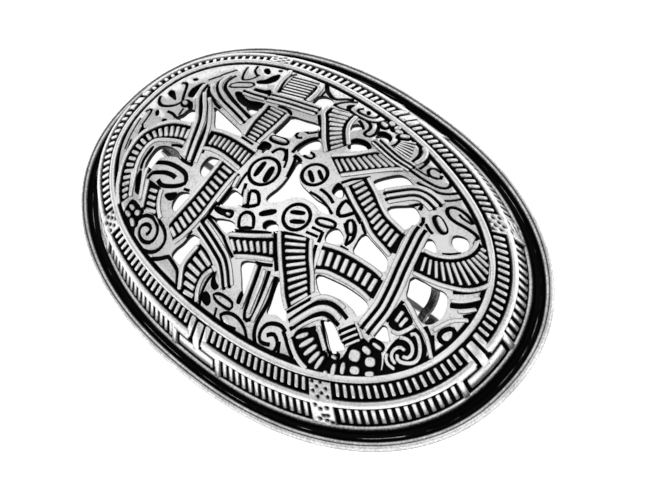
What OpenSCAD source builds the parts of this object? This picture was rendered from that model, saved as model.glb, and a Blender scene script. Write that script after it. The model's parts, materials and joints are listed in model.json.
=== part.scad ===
// Tortoise brooch: a pierced oval dome cast in one piece, with its pin and hinge rivet.
// Millimetres. X runs along the long axis, Y along the short one, Z up; the rim rests on Z = 0.

/* [Rim] */
// half length of the oval
half_length = 40.0; // [39.5:0.1:41]
// half width of the oval
half_width = 26.8; // [26.5:0.1:27.5]
// squareness of the oval, 2 is an ellipse
oval_power = 2.2; // [2.1:0.05:2.3]

/* [Dome] */
// distance from the edge to the openwork field, lengthwise
field_inset_x = 7.5; // [7.3:0.1:7.7]
// distance from the edge to the openwork field, sideways
field_inset_y = 7.1; // [6.9:0.1:7.3]
// height of the ground at the field's edge
field_foot = 7.4; // [7.2:0.1:7.6]
// rise of the ground from the field's edge to the crest
crown_rise = 6.6; // [5.5:0.1:8]
// wall under the relief, measured upright
wall = 1.2; // [1:0.1:1.4]

/* [Relief] */
// height of a rail over the ground
rail_height = 0.75; // [0.6:0.05:1]
// width of a rail
rail_width = 0.62; // [0.5:0.02:0.8]
// height of a rung over the ground
rung_height = 0.62; // [0.4:0.02:0.7]
// depth that relief is sunk into the ground
sink = 0.5; // [0.4:0.05:0.6]

/* [Ladder rings] */
// half width of a dotted panel
panel_half = 1.75; // [1.5:0.05:2]
// half width of a motif's stem
stem_half = 0.85; // [0.6:0.05:1]
// half width of a motif's foot
foot_half = 3.1; // [2.5:0.1:3.4]
// half width of the frame round a stem
stem_frame = 1.75; // [1.5:0.05:2]
// half width of the frame round a foot
foot_frame = 4.0; // [3.8:0.1:4.4]

/* [Pin] */
// diameter of the pin wire
pin_wire = 1.0; // [0.8:0.05:1.1]
// height of the pin's axis over the resting plane
pin_height = 2.1; // [2:0.1:2.3]
// hinge axis, lengthwise
hinge_x = -27.0; // [-27.5:0.1:-26]
// hinge, sideways
hinge_y = -1.0; // [-1.5:0.1:-0.5]
// pin point, lengthwise
tip_x = 26.0; // [25.5:0.1:29]
// pin point, sideways
tip_y = 1.4; // [1.2:0.1:1.6]
// outer diameter of the pin's eye
eye_across = 3.0; // [2.6:0.1:3.2]
// diameter of the rivet
rivet_across = 1.1; // [0.9:0.05:1.3]
// room between the eye and the rivet and lugs
fit = 0.1; // [0.05:0.01:0.15]
// room between the rivet and the lugs
seat = 0.02; // [0.01:0.01:0.05]
// space between the hinge lugs
lug_space = 1.6; // [1.4:0.1:2]
// thickness of a hinge lug
lug_wall = 1.1; // [0.8:0.1:1.3]
// catch, lengthwise
catch_x = 23.8; // [23.5:0.1:24.2]
// width of the catch strip
catch_width = 1.1; // [0.8:0.1:1.4]
// thickness of the catch strip
catch_wall = 0.7; // [0.5:0.05:0.8]

/* [Hidden] */

field_length = half_length - field_inset_x;
field_width = half_width - field_inset_y;

// Points round the plain sections of the skin, and round the sections with rungs.
coarse = 40;
fine = 240;
// Slices of a spiral in one turn, and sides of an eye and of a small pad.
spiral_slices = 7;
eye_sides = 10;
pad_sides = 5;

// Sections of the outer skin from the resting edge up to the ladder rings.
// Columns: distance in from the edge lengthwise, the same sideways, height.
foot_skin = [
  [0.00, 0.00, 0.00],
  [0.00, 0.00, 0.60],
  [0.70, 0.70, 1.00],
  [1.30, 1.30, 0.50],
  [2.95, 2.05, 0.50],
  [3.40, 2.50, 1.35]
];
// The rail between the two ladder rings, same columns.
middle_rail = [
  [4.35, 4.00, 4.90],
  [4.50, 4.20, 5.60],
  [5.05, 4.70, 6.05]
];
// The rail between the rings and the openwork, same columns.
inner_rail = [
  [7.05, 6.65, 7.65],
  [7.85, 7.45, 8.10]
];
// Lower and upper edges of the ladder rings, same columns: in a groove first and then on a rung.
lower_ring = [
  [[3.95, 3.10, 1.60], [3.50, 2.65, 1.75]],
  [[4.95, 4.55, 4.60], [4.45, 4.10, 4.80]]
];
upper_ring = [
  [[5.55, 5.20, 5.75], [5.25, 4.90, 6.20]],
  [[7.10, 6.70, 6.98], [6.85, 6.45, 7.45]]
];
// Sections of the inner skin, same columns.
inner_skin = [
  [3.70, 2.80, 0.00],
  [5.00, 4.20, 0.90],
  [6.20, 5.80, 4.10],
  [8.10, 7.70, 5.90]
];
// Middle line of the rings, same columns.
ring_line = [5.0, 4.8, 0];

// Steps of the ground towards the crest, as shares of the field's edge.
field_steps = [0.80, 0.45];

// Middle line of the catch strip from the dome down round the pin. Columns: y, z.
catch_line = [
  [4.5, 9.5],
  [3.8, 6.7],
  [3.0, 5.1],
  [1.8, 4.1],
  [0.5, 3.9],
  [-0.5, 3.2],
  [-0.8, 2.1],
  [-0.3, 1.1],
  [0.8, 0.8],
  [1.9, 1.05]
];

// Centres of the eight divisions of the rings, as places on the outline.
// Columns: x, y, kind (1 is a stem on a foot, 2 is a dotted panel).
divisions = [
  [35.0, 0.2, 1],
  [23.6, 16.6, 2],
  [1.0, 22.0, 1],
  [-21.6, 18.0, 2],
  [-35.0, 0.0, 1],
  [-22.6, -17.4, 2],
  [0.9, -22.0, 1],
  [21.9, -17.9, 2]
];

// Ladder bands of the openwork, seen from above.
// Columns: points on the middle line, half width at the start and at the end, rungs, lean at the start and at the end.
bands = [
  [[[-5.4, 15.4], [-4.0, 13.1], [-2.1, 11.3], [0.0, 9.8]], 1.90, 1.70, 9, 0.24, 0.24],
  [[[2.1, 7.2], [4.2, 9.8], [6.5, 13.0]], 2.05, 2.05, 9, -0.15, -0.15],
  [[[-12.1, 9.7], [-11.5, 6.5], [-10.9, 3.1]], 1.70, 1.55, 9, -0.25, 0.15],
  [[[-16.2, 0.3], [-13.0, 0.5], [-8.4, 0.5]], 1.55, 1.70, 9, -0.40, -0.30],
  [[[-9.7, -1.8], [-9.7, -6.0], [-9.9, -9.6], [-11.0, -13.2]], 1.65, 1.55, 12, 0.05, 0.35],
  [[[-20.0, -1.0], [-23.5, -2.4], [-26.0, -4.7], [-26.3, -7.2], [-25.2, -9.8], [-22.9, -13.0]],
    1.50, 1.35, 15, -0.60, 0.00],
  [[[6.8, 7.3], [9.5, 6.3], [12.5, 5.2], [17.4, 4.1]], 1.35, 1.75, 12, 0.14, -0.50],
  [[[-1.2, -10.3], [0.9, -9.0], [4.7, -7.0]], 1.60, 1.80, 7, -0.33, -0.33],
  [[[6.0, -4.6], [8.1, -6.7], [10.4, -9.0], [12.2, -11.0]], 1.80, 1.60, 9, 0.26, -0.40],
  [[[-4.4, -13.3], [-4.4, -15.0], [-4.1, -16.9], [-3.1, -18.7]], 1.75, 1.55, 6, 0.35, -0.35],
  [[[21.6, 4.0], [24.2, 4.7], [26.1, 6.3], [27.0, 8.3], [26.4, 11.2]], 1.75, 1.60, 14, -0.30, 0.30],
  [[[10.3, -4.4], [13.2, -3.4], [16.4, -2.8], [19.8, -2.7]], 1.60, 1.70, 8, -0.43, -0.15],
  [[[14.8, -13.2], [17.0, -14.0], [20.0, -14.9]], 1.25, 1.35, 6, 0.33, -0.30],
  [[[-18.5, -9.8], [-17.4, -11.8], [-16.3, -13.4]], 1.25, 1.15, 4, 0.24, 0.24]
];

// Straps of close ridges that cross the bands.
// Columns: points on the middle line, ridges, space between ridges.
straps = [
  [[[-24.5, 9.8], [-23.5, 7.9], [-20.0, 6.4], [-16.5, 5.7], [-13.6, 5.2]], 4, 0.82],
  [[[-25.2, 6.4], [-23.2, 4.2], [-20.3, 1.6], [-17.9, -1.0], [-16.3, -3.0], [-14.9, -5.1]], 4, 0.85],
  [[[2.4, 14.6], [6.0, 14.4], [10.0, 14.4], [13.2, 14.7], [15.4, 16.0]], 3, 0.70],
  [[[-8.2, -11.0], [-5.0, -11.4], [-2.0, -12.2], [0.6, -13.6], [2.5, -15.5]], 3, 0.90],
  [[[10.9, 8.3], [13.3, 11.2], [14.8, 12.3], [17.3, 12.1]], 3, 0.92],
  [[[18.6, 8.6], [19.3, 4.8], [20.8, 1.0], [21.9, -2.4], [22.3, -5.6], [22.2, -7.9]], 3, 0.98],
  [[[12.9, -13.5], [14.5, -10.4], [16.2, -8.8], [19.0, -8.5]], 3, 0.90],
  [[[-18.6, 9.7], [-14.5, 10.8], [-10.5, 12.2], [-7.2, 13.2]], 3, 0.75],
  [[[19.9, -10.2], [21.4, -8.2]], 3, 0.95],
  [[[28.8, 2.5], [30.1, 4.0], [30.8, 5.4]], 2, 1.05],
  [[[5.7, -9.6], [6.6, -12.6], [6.9, -16.0]], 2, 1.30]
];

// Single ridges. Columns: width, points.
ridges = [
  [0.80, [[-9.2, 5.5], [-6.0, 6.2]]],
  [0.60, [[-4.3, 9.9], [-4.6, 6.4], [-5.0, 5.3]]],
  [0.60, [[-3.0, 16.6], [-2.3, 14.3], [1.6, 11.0]]],
  [0.75, [[7.6, 18.5], [9.1, 17.5], [9.7, 15.1]]],
  [0.60, [[4.3, 6.8], [4.1, 5.4], [4.8, 4.1], [6.8, 3.3]]],
  [0.80, [[2.8, 2.6], [4.8, 2.7], [7.6, 2.2]]],
  [0.80, [[2.0, -1.8], [-3.8, -5.2], [-7.6, -6.8]]],
  [0.70, [[2.6, -3.7], [1.0, -4.1], [-0.2, -5.1], [-0.9, -4.7]]],
  [0.60, [[-6.6, -9.4], [-3.6, -10.0], [-0.4, -11.2]]],
  [0.60, [[7.7, -9.9], [8.4, -13.0], [8.5, -16.8]]],
  [0.60, [[0.0, -19.2], [2.4, -17.6]]],
  [0.60, [[12.0, 16.1], [12.9, 16.5], [13.4, 15.9], [12.4, 15.3]]],
  [0.60, [[18.3, 15.4], [24.0, 13.0]]],
  [0.60, [[20.6, 13.8], [19.2, 13.9], [18.9, 13.1], [20.5, 12.8], [23.0, 13.1]]],
  [0.60, [[17.6, 13.7], [17.9, 12.4], [19.6, 11.9], [24.2, 12.3]]],
  [0.60, [[19.2, 8.6], [21.4, 8.7], [23.8, 6.8]]],
  [0.60, [[6.8, -0.7], [9.5, 0.8]]],
  [0.70, [[23.6, -1.3], [29.0, -3.1], [31.0, -5.4]]],
  [0.60, [[26.9, -2.7], [25.9, -5.3], [24.9, -5.7]]],
  [0.60, [[29.2, -2.2], [29.2, -0.3], [30.4, 0.6], [31.6, -0.2]]],
  [0.60, [[9.4, -14.9], [11.2, -14.4], [12.9, -14.9]]],
  [0.60, [[-23.9, 12.9], [-22.7, 11.5], [-21.6, 10.8], [-20.2, 11.4], [-18.3, 14.9]]],
  [0.80, [[-14.4, 17.9], [-12.2, 17.8], [-11.0, 16.6], [-9.7, 13.4]]],
  [0.80, [[-18.0, 16.4], [-17.0, 15.3], [-15.2, 11.7]]],
  [0.60, [[-21.2, -8.8], [-20.6, -7.4], [-18.6, -6.7], [-16.2, -6.4], [-15.0, -7.0], [-16.6, -8.1], [-19.0, -8.9]]],
  [0.60, [[-22.0, -5.2], [-20.6, -5.6], [-18.4, -5.2], [-15.6, -5.2], [-13.2, -6.2]]],
  [0.70, [[-12.0, -6.8], [-16.9, -9.6]]],
  [0.60, [[-24.0, -4.5], [-22.8, -6.0], [-22.3, -8.4], [-20.9, -10.8], [-19.0, -12.7]]],
  [0.60, [[-20.6, -13.0], [-19.0, -12.7], [-17.9, -12.9]]],
  [0.60, [[-12.7, -13.6], [-11.2, -14.8], [-10.9, -16.2], [-12.6, -17.8]]],
  [0.60, [[-9.6, -13.8], [-9.9, -15.3], [-11.5, -17.6]]],
  [0.60, [[-30.2, 2.6], [-29.6, 1.2], [-28.6, 1.0], [-26.9, 1.8]]],
  [0.60, [[-30.2, 4.6], [-28.9, 5.6], [-26.0, 2.8]]],
  [0.70, [[-28.8, 8.9], [-26.6, 10.6], [-24.8, 12.6]]],
  [0.70, [[-30.3, -1.4], [-29.9, -4.2], [-28.9, -7.0], [-26.6, -10.6], [-23.8, -13.8]]],
  [0.60, [[-29.2, -2.2], [-28.4, -3.8], [-27.0, -3.2]]],
  [0.60, [[-25.6, 8.0], [-26.2, 9.2], [-25.4, 10.6]]]
];

// Spiral ridges. Columns: x, y, first radius, last radius, first angle, turns, width over length.
spirals = [
  [-3.1, 17.8, 0.5, 2.2, 40, 1.5, 0.62],
  [28.2, -7.1, 0.4, 2.9, 200, 1.1, 1.00],
  [28.2, -7.1, 0.4, 2.9, 20, 1.1, 1.00],
  [11.5, -16.3, 0.6, 2.1, 320, 1.2, 0.85],
  [-15.3, -15.3, 0.5, 3.2, 90, 2.1, 0.80]
];

// Round eyes: an outer ring and a slotted disc. Columns: x, y, radius of the ring, angle of the bar.
eyes = [
  [1.3, 4.6, 2.30, -38],
  [-4.9, 0.8, 3.00, 90],
  [4.2, -1.9, 2.50, 33]
];

// Small raised pads. Columns: x, y, half length, half width, angle.
pads = [
  [-2.9, -3.5, 0.80, 0.55, -40],
  [-1.6, -6.4, 0.95, 0.80, -35],
  [8.7, 3.3, 0.70, 0.60, 50],
  [11.2, 1.2, 1.05, 0.35, -45],
  [19.8, 10.7, 1.40, 0.42, -20],
  [2.3, -16.6, 1.30, 0.36, 6],
  [5.7, -18.2, 1.30, 0.35, 10],
  [30.6, -0.9, 0.60, 0.60, 0],
  [23.2, -11.1, 0.75, 0.75, 0],
  [25.3, -10.4, 0.70, 0.70, 20],
  [24.1, -12.6, 0.70, 0.45, 25],
  [-28.9, 3.1, 0.80, 0.50, -35]
];

// Flat raised plates. Columns: points of the outline.
plates = [
  [[29.7, 1.0], [31.5, 2.8], [31.9, 1.4], [31.2, 0.9], [30.4, 0.8]],
  [[29.8, -2.6], [31.3, -2.0], [31.6, -3.4], [30.9, -3.6]],
  [[-10.6, 18.2], [-7.6, 18.6], [-8.2, 17.3], [-9.4, 17.1]],
  [[-18.3, 11.2], [-17.4, 12.6], [-17.1, 14.0], [-15.9, 12.6], [-15.3, 11.4]],
  [[-14.0, -5.7], [-11.7, -5.8], [-11.7, -7.8], [-13.4, -7.4]],
  [[-11.3, -18.0], [-9.6, -17.3], [-7.5, -17.4], [-6.3, -18.5]],
  [[-28.6, -0.6], [-26.6, -1.2], [-27.4, -2.8], [-28.7, -2.2]]
];

// Gaps cut through, seen from above. Columns: points of the outline.
gaps = [
  [[-1.9, 14.6], [-1.5, 15.3], [-0.8, 15.1], [-0.7, 14.5], [-1.3, 13.9]],
  [[0.4, 12.6], [1.2, 13.3], [2.6, 13.4], [3.2, 12.7], [2.2, 11.6], [1.5, 11.3]],
  [[1.7, 16.2], [2.2, 16.9], [3.4, 16.8], [4.0, 15.9], [3.4, 15.5], [2.3, 15.5]],
  [[-9.6, 9.6], [-7.4, 10.6], [-5.3, 11.3], [-4.6, 10.4], [-5.7, 9.2], [-6.4, 8.2], [-6.3, 7.0], [-8.2, 6.2],
    [-9.1, 6.6]],
  [[-4.2, 7.0], [-3.9, 8.5], [-3.1, 9.2], [-2.1, 9.0], [-1.6, 8.0], [-2.4, 7.3], [-1.9, 6.6], [-2.6, 6.1], [-3.8, 6.0]],
  [[-2.4, 4.6], [-1.9, 5.1], [-1.3, 4.5], [-0.3, 3.1], [1.0, 2.2], [2.6, 1.9], [4.5, 1.7], [6.3, 1.8], [7.5, 1.2],
    [6.2, 0.8], [4.6, 1.1], [2.8, 0.8], [1.6, 0.0], [0.8, -1.3], [-0.7, -2.6], [-1.4, -2.1], [-1.1, -0.2], [-1.2, 1.6]],
  [[5.0, 4.7], [5.3, 5.5], [6.0, 5.3], [6.7, 4.4], [6.2, 4.1], [5.5, 4.2]],
  [[8.3, 9.2], [9.7, 8.7], [12.2, 12.0], [12.0, 12.7], [10.4, 12.8], [9.4, 12.0]],
  [[12.9, 7.3], [14.2, 9.4], [15.2, 10.5], [16.4, 9.6], [17.2, 8.6], [17.0, 7.0], [16.6, 6.3], [15.0, 6.3]],
  [[22.0, 10.4], [22.4, 11.4], [23.3, 11.7], [24.3, 11.2], [24.6, 10.2], [24.0, 9.4], [23.0, 9.2], [22.3, 9.7]],
  [[19.9, 6.9], [20.2, 7.7], [21.2, 7.8], [22.3, 6.9], [21.9, 6.3], [20.6, 6.0]],
  [[22.5, 2.0], [25.4, 2.7], [27.0, 3.2], [28.2, 2.7], [29.0, 1.0], [29.1, 0.0], [28.7, -1.4], [27.4, -2.0],
    [25.4, -1.2], [23.7, -0.8], [23.0, 0.2]],
  [[12.9, 2.4], [14.2, 2.3], [17.6, 1.8], [18.5, 1.2], [19.2, -0.3], [17.0, -0.5], [14.3, -0.9], [13.6, 0.4]],
  [[8.8, -1.0], [9.3, 0.0], [10.4, 0.3], [11.5, -0.1], [11.9, -1.0], [11.2, -1.7], [9.8, -2.2], [9.0, -1.9]],
  [[12.4, -6.3], [14.4, -5.7], [17.2, -5.2], [20.2, -5.3], [20.7, -6.4], [20.1, -7.3], [18.6, -6.9], [17.0, -6.9],
    [15.6, -7.5], [14.4, -8.0], [13.0, -7.4]],
  [[23.3, -6.2], [24.2, -5.9], [24.9, -6.1], [25.7, -6.8], [24.9, -7.4], [23.8, -7.7], [23.3, -7.2]],
  [[16.7, -10.6], [17.2, -10.1], [18.8, -10.1], [20.6, -10.9], [21.6, -11.6], [20.9, -12.4], [20.0, -12.7],
    [18.6, -11.9]],
  [[7.9, -10.0], [8.7, -10.3], [10.4, -11.9], [11.9, -13.2], [12.3, -13.9], [10.6, -13.9], [9.3, -14.4], [8.9, -13.0]],
  [[1.3, -11.3], [3.4, -10.2], [4.1, -10.4], [4.6, -12.0], [4.8, -14.2], [4.3, -14.2], [3.0, -12.8]],
  [[0.9, -5.4], [1.3, -4.5], [2.3, -4.4], [3.1, -4.9], [2.2, -5.7], [1.4, -5.9]],
  [[-7.3, -4.0], [-6.4, -4.2], [-4.7, -4.6], [-4.4, -5.0], [-5.0, -5.6], [-6.3, -6.1], [-7.2, -6.4]],
  [[-5.7, -9.0], [-4.2, -8.1], [-2.9, -7.9], [-2.4, -8.5], [-3.3, -9.5], [-5.0, -9.5]],
  [[-1.5, -14.4], [-0.5, -14.3], [-0.1, -15.0], [0.3, -15.7], [-0.6, -15.8], [-1.2, -15.4]],
  [[-9.8, 15.8], [-9.0, 16.4], [-7.8, 16.1], [-7.5, 14.8], [-7.9, 14.0], [-8.9, 13.9], [-9.4, 14.6]],
  [[-20.2, 4.1], [-17.0, 3.9], [-14.0, 3.5], [-12.7, 3.0], [-13.2, 2.5], [-15.4, 2.2], [-17.2, 1.7], [-18.5, 2.6]],
  [[-16.6, 7.3], [-15.5, 8.0], [-14.2, 8.5], [-14.0, 6.9], [-15.4, 6.9]],
  [[-24.5, 0.3], [-23.9, 2.1], [-22.6, 1.8], [-21.3, 0.8], [-22.2, 0.4], [-23.6, 0.1]],
  [[-14.5, -2.6], [-13.6, -2.0], [-12.3, -1.9], [-11.7, -2.5], [-11.7, -4.6], [-12.3, -5.2], [-13.3, -4.8],
    [-14.1, -3.8]],
  [[-14.5, -9.0], [-13.2, -8.3], [-12.2, -8.2], [-12.1, -9.8], [-12.5, -11.1], [-13.4, -11.2], [-14.2, -10.6]],
  [[-22.3, -5.6], [-21.0, -5.9], [-20.9, -6.6], [-21.3, -8.0], [-21.2, -9.3], [-21.8, -8.4], [-22.2, -7.0]],
  [[-8.2, -12.3], [-6.6, -12.3], [-6.8, -14.4], [-6.6, -16.2], [-7.2, -16.6], [-8.2, -16.3], [-9.0, -15.8],
    [-8.8, -15.0], [-8.1, -13.8]]
];

// Geometry of the dome.
function share(x, y) = pow(pow(abs(x) / field_length, oval_power) + pow(abs(y) / field_width, oval_power), 1 / oval_power);
function ground(x, y) = field_foot + crown_rise * (1 - pow(share(x, y), 2));
function slope_x(x, y) = (ground(x + 0.1, y) - ground(x - 0.1, y)) / 0.2;
function slope_y(x, y) = (ground(x, y + 0.1) - ground(x, y - 0.1)) / 0.2;
function upright(x, y) = let (v = [-slope_x(x, y), -slope_y(x, y), 1]) v / norm(v);
function lift(x, y, h) = [x, y, ground(x, y)] + h * upright(x, y);

// Point of the oval whose row holds distances in from the edge and a height.
function signed_pow(v, p) = sign(v) * pow(abs(v), p);
function oval(row, t) = [
  (half_length - row[0]) * signed_pow(cos(t), 2 / oval_power),
  (half_width - row[1]) * signed_pow(sin(t), 2 / oval_power),
  row[2]
];
function turn_at(x, y) = atan2(
  signed_pow(y / (half_width - ring_line[1]), oval_power / 2),
  signed_pow(x / (half_length - ring_line[0]), oval_power / 2)
);

// Even steps along the rings.
ring_turns = [for (t = [-180 : 5 : 540]) t];
ring_points = [for (t = ring_turns) oval(ring_line, t)];
ring_steps = [for (i = [0 : len(ring_turns) - 1]) i == 0 ? 0 : norm(ring_points[i] - ring_points[i - 1])];
function sums(v, i = 0, s = 0, out = []) = i == len(v) ? out : sums(v, i + 1, s + v[i], concat(out, [s + v[i]]));
ring_lengths = sums(ring_steps);
to_length = [for (i = [0 : len(ring_turns) - 1]) [ring_turns[i], ring_lengths[i]]];
to_turn = [for (i = [0 : len(ring_turns) - 1]) [ring_lengths[i], ring_turns[i]]];
ring_total = lookup(180, to_length);

// Paths.
function along(p, i) = let (v = p[min(i + 1, len(p) - 1)] - p[max(i - 1, 0)]) v / norm(v);
function side(p, i) = let (v = along(p, i)) [-v[1], v[0]];
function shift_path(p, s0, s1) = [for (i = [0 : len(p) - 1]) p[i] + side(p, i) * (s0 + (s1 - s0) * i / (len(p) - 1))];
function at(p, f) = let (g = f * (len(p) - 1), i = min(floor(g), len(p) - 2)) p[i] + (p[i + 1] - p[i]) * (g - i);
function at_along(p, f) = along(p, min(max(round(f * (len(p) - 1)), 0), len(p) - 1));

function flip(faces) = [for (f = faces) [f[0], f[2], f[1]]];

// Ridge that follows a path over the dome, with a sharp crest.
module ridge(p, width, height) {
  n = len(p);
  pts = [
    for (i = [0 : n - 1]) let (s = side(p, i), a = p[i] + s * (width / 2 + 0.1), b = p[i] - s * (width / 2 + 0.1))
      each [lift(a[0], a[1], -sink), lift(p[i][0], p[i][1], height), lift(b[0], b[1], -sink)]
  ];
  faces = [
    for (i = [0 : n - 2], k = [0 : 2]) let (q = 3 * i, m = (k + 1) % 3) each [[q + k, q + 3 + k, q + m], [q + m, q + 3 + k, q + 3 + m]],
    [0, 1, 2],
    [3 * n - 3, 3 * n - 1, 3 * n - 2]
  ];
  polyhedron(pts, faces, convexity = 6);
}

// Joins a coarse line of points a .. a + m to a fine line b .. b + n, turned over on request.
function zip(a, m, b, n, over) = [
  for (j = [0 : n - 1]) let (c = round(j * m / n), d = round((j + 1) * m / n))
    each concat(
      [over ? [a + c, b + j + 1, b + j] : [a + c, b + j, b + j + 1]],
      [for (k = [c : 1 : d - 1]) over ? [a + k, a + k + 1, b + j + 1] : [a + k, b + j + 1, a + k + 1]]
    )
];

// Band with a rail on each side and rungs between them.
module band(row) {
  p = row[0];
  m = len(p) - 1;
  n = 2 * row[3];
  reach = rail_width / 2 + 0.15;
  left = shift_path(p, row[1], row[2]);
  right = shift_path(p, -row[1], -row[2]);
  left_foot = shift_path(p, row[1] + reach, row[2] + reach);
  right_foot = shift_path(p, -row[1] - reach, -row[2] - reach);
  inner = [
    for (g = [1, -1], j = [0 : n]) let (f = j / n, t = at_along(p, f), w = row[1] + (row[2] - row[1]) * f - reach,
      lean = (row[4] + (row[5] - row[4]) * f) * min(1, 4 * f, 4 * (1 - f)), c = at(p, f) + g * w * ([-t[1], t[0]] + lean * t))
      lift(c[0], c[1], j % 2 == 1 ? rung_height : 0.05)
  ];
  pts = concat(
    [for (q = left_foot) lift(q[0], q[1], -sink)],
    [for (q = left) lift(q[0], q[1], rail_height)],
    [for (q = right) lift(q[0], q[1], rail_height)],
    [for (q = right_foot) lift(q[0], q[1], -sink)],
    inner
  );
  k = m + 1;
  a = 4 * k;
  b = a + n + 1;
  faces = concat(
    [for (i = [0 : m - 1]) each [[i, k + i, i + 1], [i + 1, k + i, k + i + 1]]],
    zip(k, m, a, n, false),
    [for (j = [0 : n - 1]) each [[a + j, b + j, a + j + 1], [a + j + 1, b + j, b + j + 1]]],
    zip(2 * k, m, b, n, true),
    [for (i = [0 : m - 1]) each [[2 * k + i, 3 * k + i, 2 * k + i + 1], [2 * k + i + 1, 3 * k + i, 3 * k + i + 1]]],
    [for (i = [0 : m - 1]) each [[3 * k + i, i, 3 * k + i + 1], [3 * k + i + 1, i, i + 1]]],
    [[0, a, k], [0, 3 * k, b], [0, b, a], [3 * k, 2 * k, b]],
    [[m, k + m, a + n], [m, b + n, 3 * k + m], [m, a + n, b + n], [3 * k + m, b + n, 2 * k + m]]
  );
  polyhedron(pts, flip(faces), convexity = 10);
}

// Strap of close ridges side by side.
module strap(row) {
  p = row[0];
  n = len(p);
  half = (row[1] - 1) * row[2] / 2;
  crests = max(2, row[1] - 1);
  space = 2 * half / (crests - 1);
  cross = concat(
    [[half + 0.5, -sink]],
    [for (i = [0 : crests - 1]) each concat(
      [[half - i * space, rail_height + 0.1]],
      i < crests - 1 ? [[half - (i + 0.5) * space, 0.3]] : []
    )],
    [[-half - 0.5, -sink]]
  );
  c = len(cross);
  pts = [for (i = [0 : n - 1], q = cross) let (v = p[i] + side(p, i) * q[0]) lift(v[0], v[1], q[1])];
  faces = concat(
    [for (i = [0 : n - 2], k = [0 : c - 1]) let (a = c * i, m = (k + 1) % c)
      each [[a + k, a + m, a + c + k], [a + m, a + c + m, a + c + k]]],
    [for (k = [1 : c - 2]) [0, k + 1, k]],
    [for (k = [1 : c - 2]) [c * (n - 1), c * (n - 1) + k, c * (n - 1) + k + 1]]
  );
  polyhedron(pts, flip(faces), convexity = 10);
}

// Ridge that winds out from a centre.
module spiral(row) {
  steps = ceil(row[5] * spiral_slices);
  line = [
    for (i = [0 : steps]) let (r = row[2] + (row[3] - row[2]) * i / steps, a = row[4] + 360 * row[5] * i / steps)
      [row[0] + r * cos(a), row[1] + r * sin(a) * row[6]]
  ];
  ridge(line, rail_width, rail_height);
}

// Eye: a ring, a groove and a disc, with a bar across the disc.
module round_eye(row) {
  x = row[0];
  y = row[1];
  r = row[2];
  levels = [[r + 0.4, -sink], [r, rail_height], [r * 0.8, 0.1], [r * 0.6, rail_height]];
  n = eye_sides;
  pts = concat(
    [for (q = levels, i = [0 : n - 1]) lift(x + q[0] * cos(360 * i / n), y + q[0] * sin(360 * i / n), q[1])],
    [lift(x, y, -sink), lift(x, y, 0.35)]
  );
  faces = concat(
    [for (k = [0 : 2], i = [0 : n - 1]) let (a = k * n + i, b = k * n + (i + 1) % n) each [[a, a + n, b], [b, a + n, b + n]]],
    [for (i = [0 : n - 1]) let (j = (i + 1) % n) each [[4 * n, i, j], [4 * n + 1, 3 * n + j, 3 * n + i]]]
  );
  polyhedron(pts, faces, convexity = 6);
  v = [cos(row[3]), sin(row[3])];
  ridge([[x, y] - v * r * 0.5, [x, y] + v * r * 0.5], r * 0.3, rail_height);
}

// Convex pad over the dome.
module pad(points, height) {
  hull() polyhedron(
    concat([for (q = points) lift(q[0], q[1], -sink)], [for (q = points) lift(q[0], q[1], height)]),
    concat([[for (i = [0 : len(points) - 1]) i]], [[for (i = [0 : len(points) - 1]) 2 * len(points) - 1 - i]],
      [for (i = [0 : len(points) - 1]) let (j = (i + 1) % len(points)) [i, i + len(points), j + len(points), j]])
  );
}

function oblong(x, y, a, b, turn) = [
  for (i = [0 : pad_sides - 1]) let (u = a * cos(360 * i / pad_sides), v = b * sin(360 * i / pad_sides))
    [x + u * cos(turn) - v * sin(turn), y + u * sin(turn) + v * cos(turn)]
];

// True where a ring is raised: on a panel, a stem or foot, or the frame beside it.
function wrap(s) = let (v = s % ring_total) v > ring_total / 2 ? v - ring_total : (v < -ring_total / 2 ? v + ring_total : v);
function near(i, row) = abs(wrap(i * ring_total / fine - lookup(turn_at(row[0], row[1]), to_length)));
function shape(d, row, lower) = row[2] == 2 ? (d < panel_half ? 2 : (d < panel_half + 0.6 ? 0 : 1)) :
  let (core = lower ? foot_half : stem_half, frame = lower ? foot_frame : stem_frame)
    d < core ? 2 : (d < frame - 0.35 ? 0 : (d < frame + 0.35 ? 2 : (d < frame + 0.9 ? 0 : 1)));
function level(i, lower) = min([for (row = divisions) let (v = shape(near(i, row), row, lower)) v == 1 ? 3 : v]);
function raised(i, lower) = let (v = level(i, lower)) v == 3 ? i % 2 == 1 : v == 2;
function ring_turn(i, n) = lookup(i * ring_total / n, to_turn);
function coarse_row(row) = [for (i = [0 : coarse - 1]) oval(row, ring_turn(i, coarse))];
function field_row(q, depth) = [
  for (i = [0 : coarse / 2 - 1]) oval([half_length - field_length * q, half_width - field_width * q,
    field_foot + crown_rise * (1 - q * q) - depth], ring_turn(i, coarse / 2))
];
function fine_row(ring, lower) = [for (i = [0 : fine - 1]) oval(ring[raised(i, lower) ? 1 : 0], ring_turn(i, fine))];

// Joins two closed rows of points of the skin, the first one below the second.
function join_rows(a, na, b, nb) =
  na == nb ? [for (i = [0 : na - 1]) let (j = (i + 1) % na) each [[a + i, b + i, b + j], [a + i, b + j, a + j]]] :
  na < nb ? let (m = nb / na, h = floor(m / 2)) [for (i = [0 : na - 1]) each concat(
    [for (j = [0 : m - 1]) [a + (i + (j < h ? 0 : 1)) % na, b + m * i + j, b + (m * i + j + 1) % nb]],
    [[a + i, b + m * i + h, a + (i + 1) % na]]
  )] :
  let (m = na / nb, h = floor(m / 2)) [for (i = [0 : nb - 1]) each concat(
    [for (j = [0 : m - 1]) [a + m * i + j, b + (i + (j < h ? 0 : 1)) % nb, a + (m * i + j + 1) % na]],
    [[a + m * i + h, b + i, b + (i + 1) % nb]]
  )];

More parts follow.
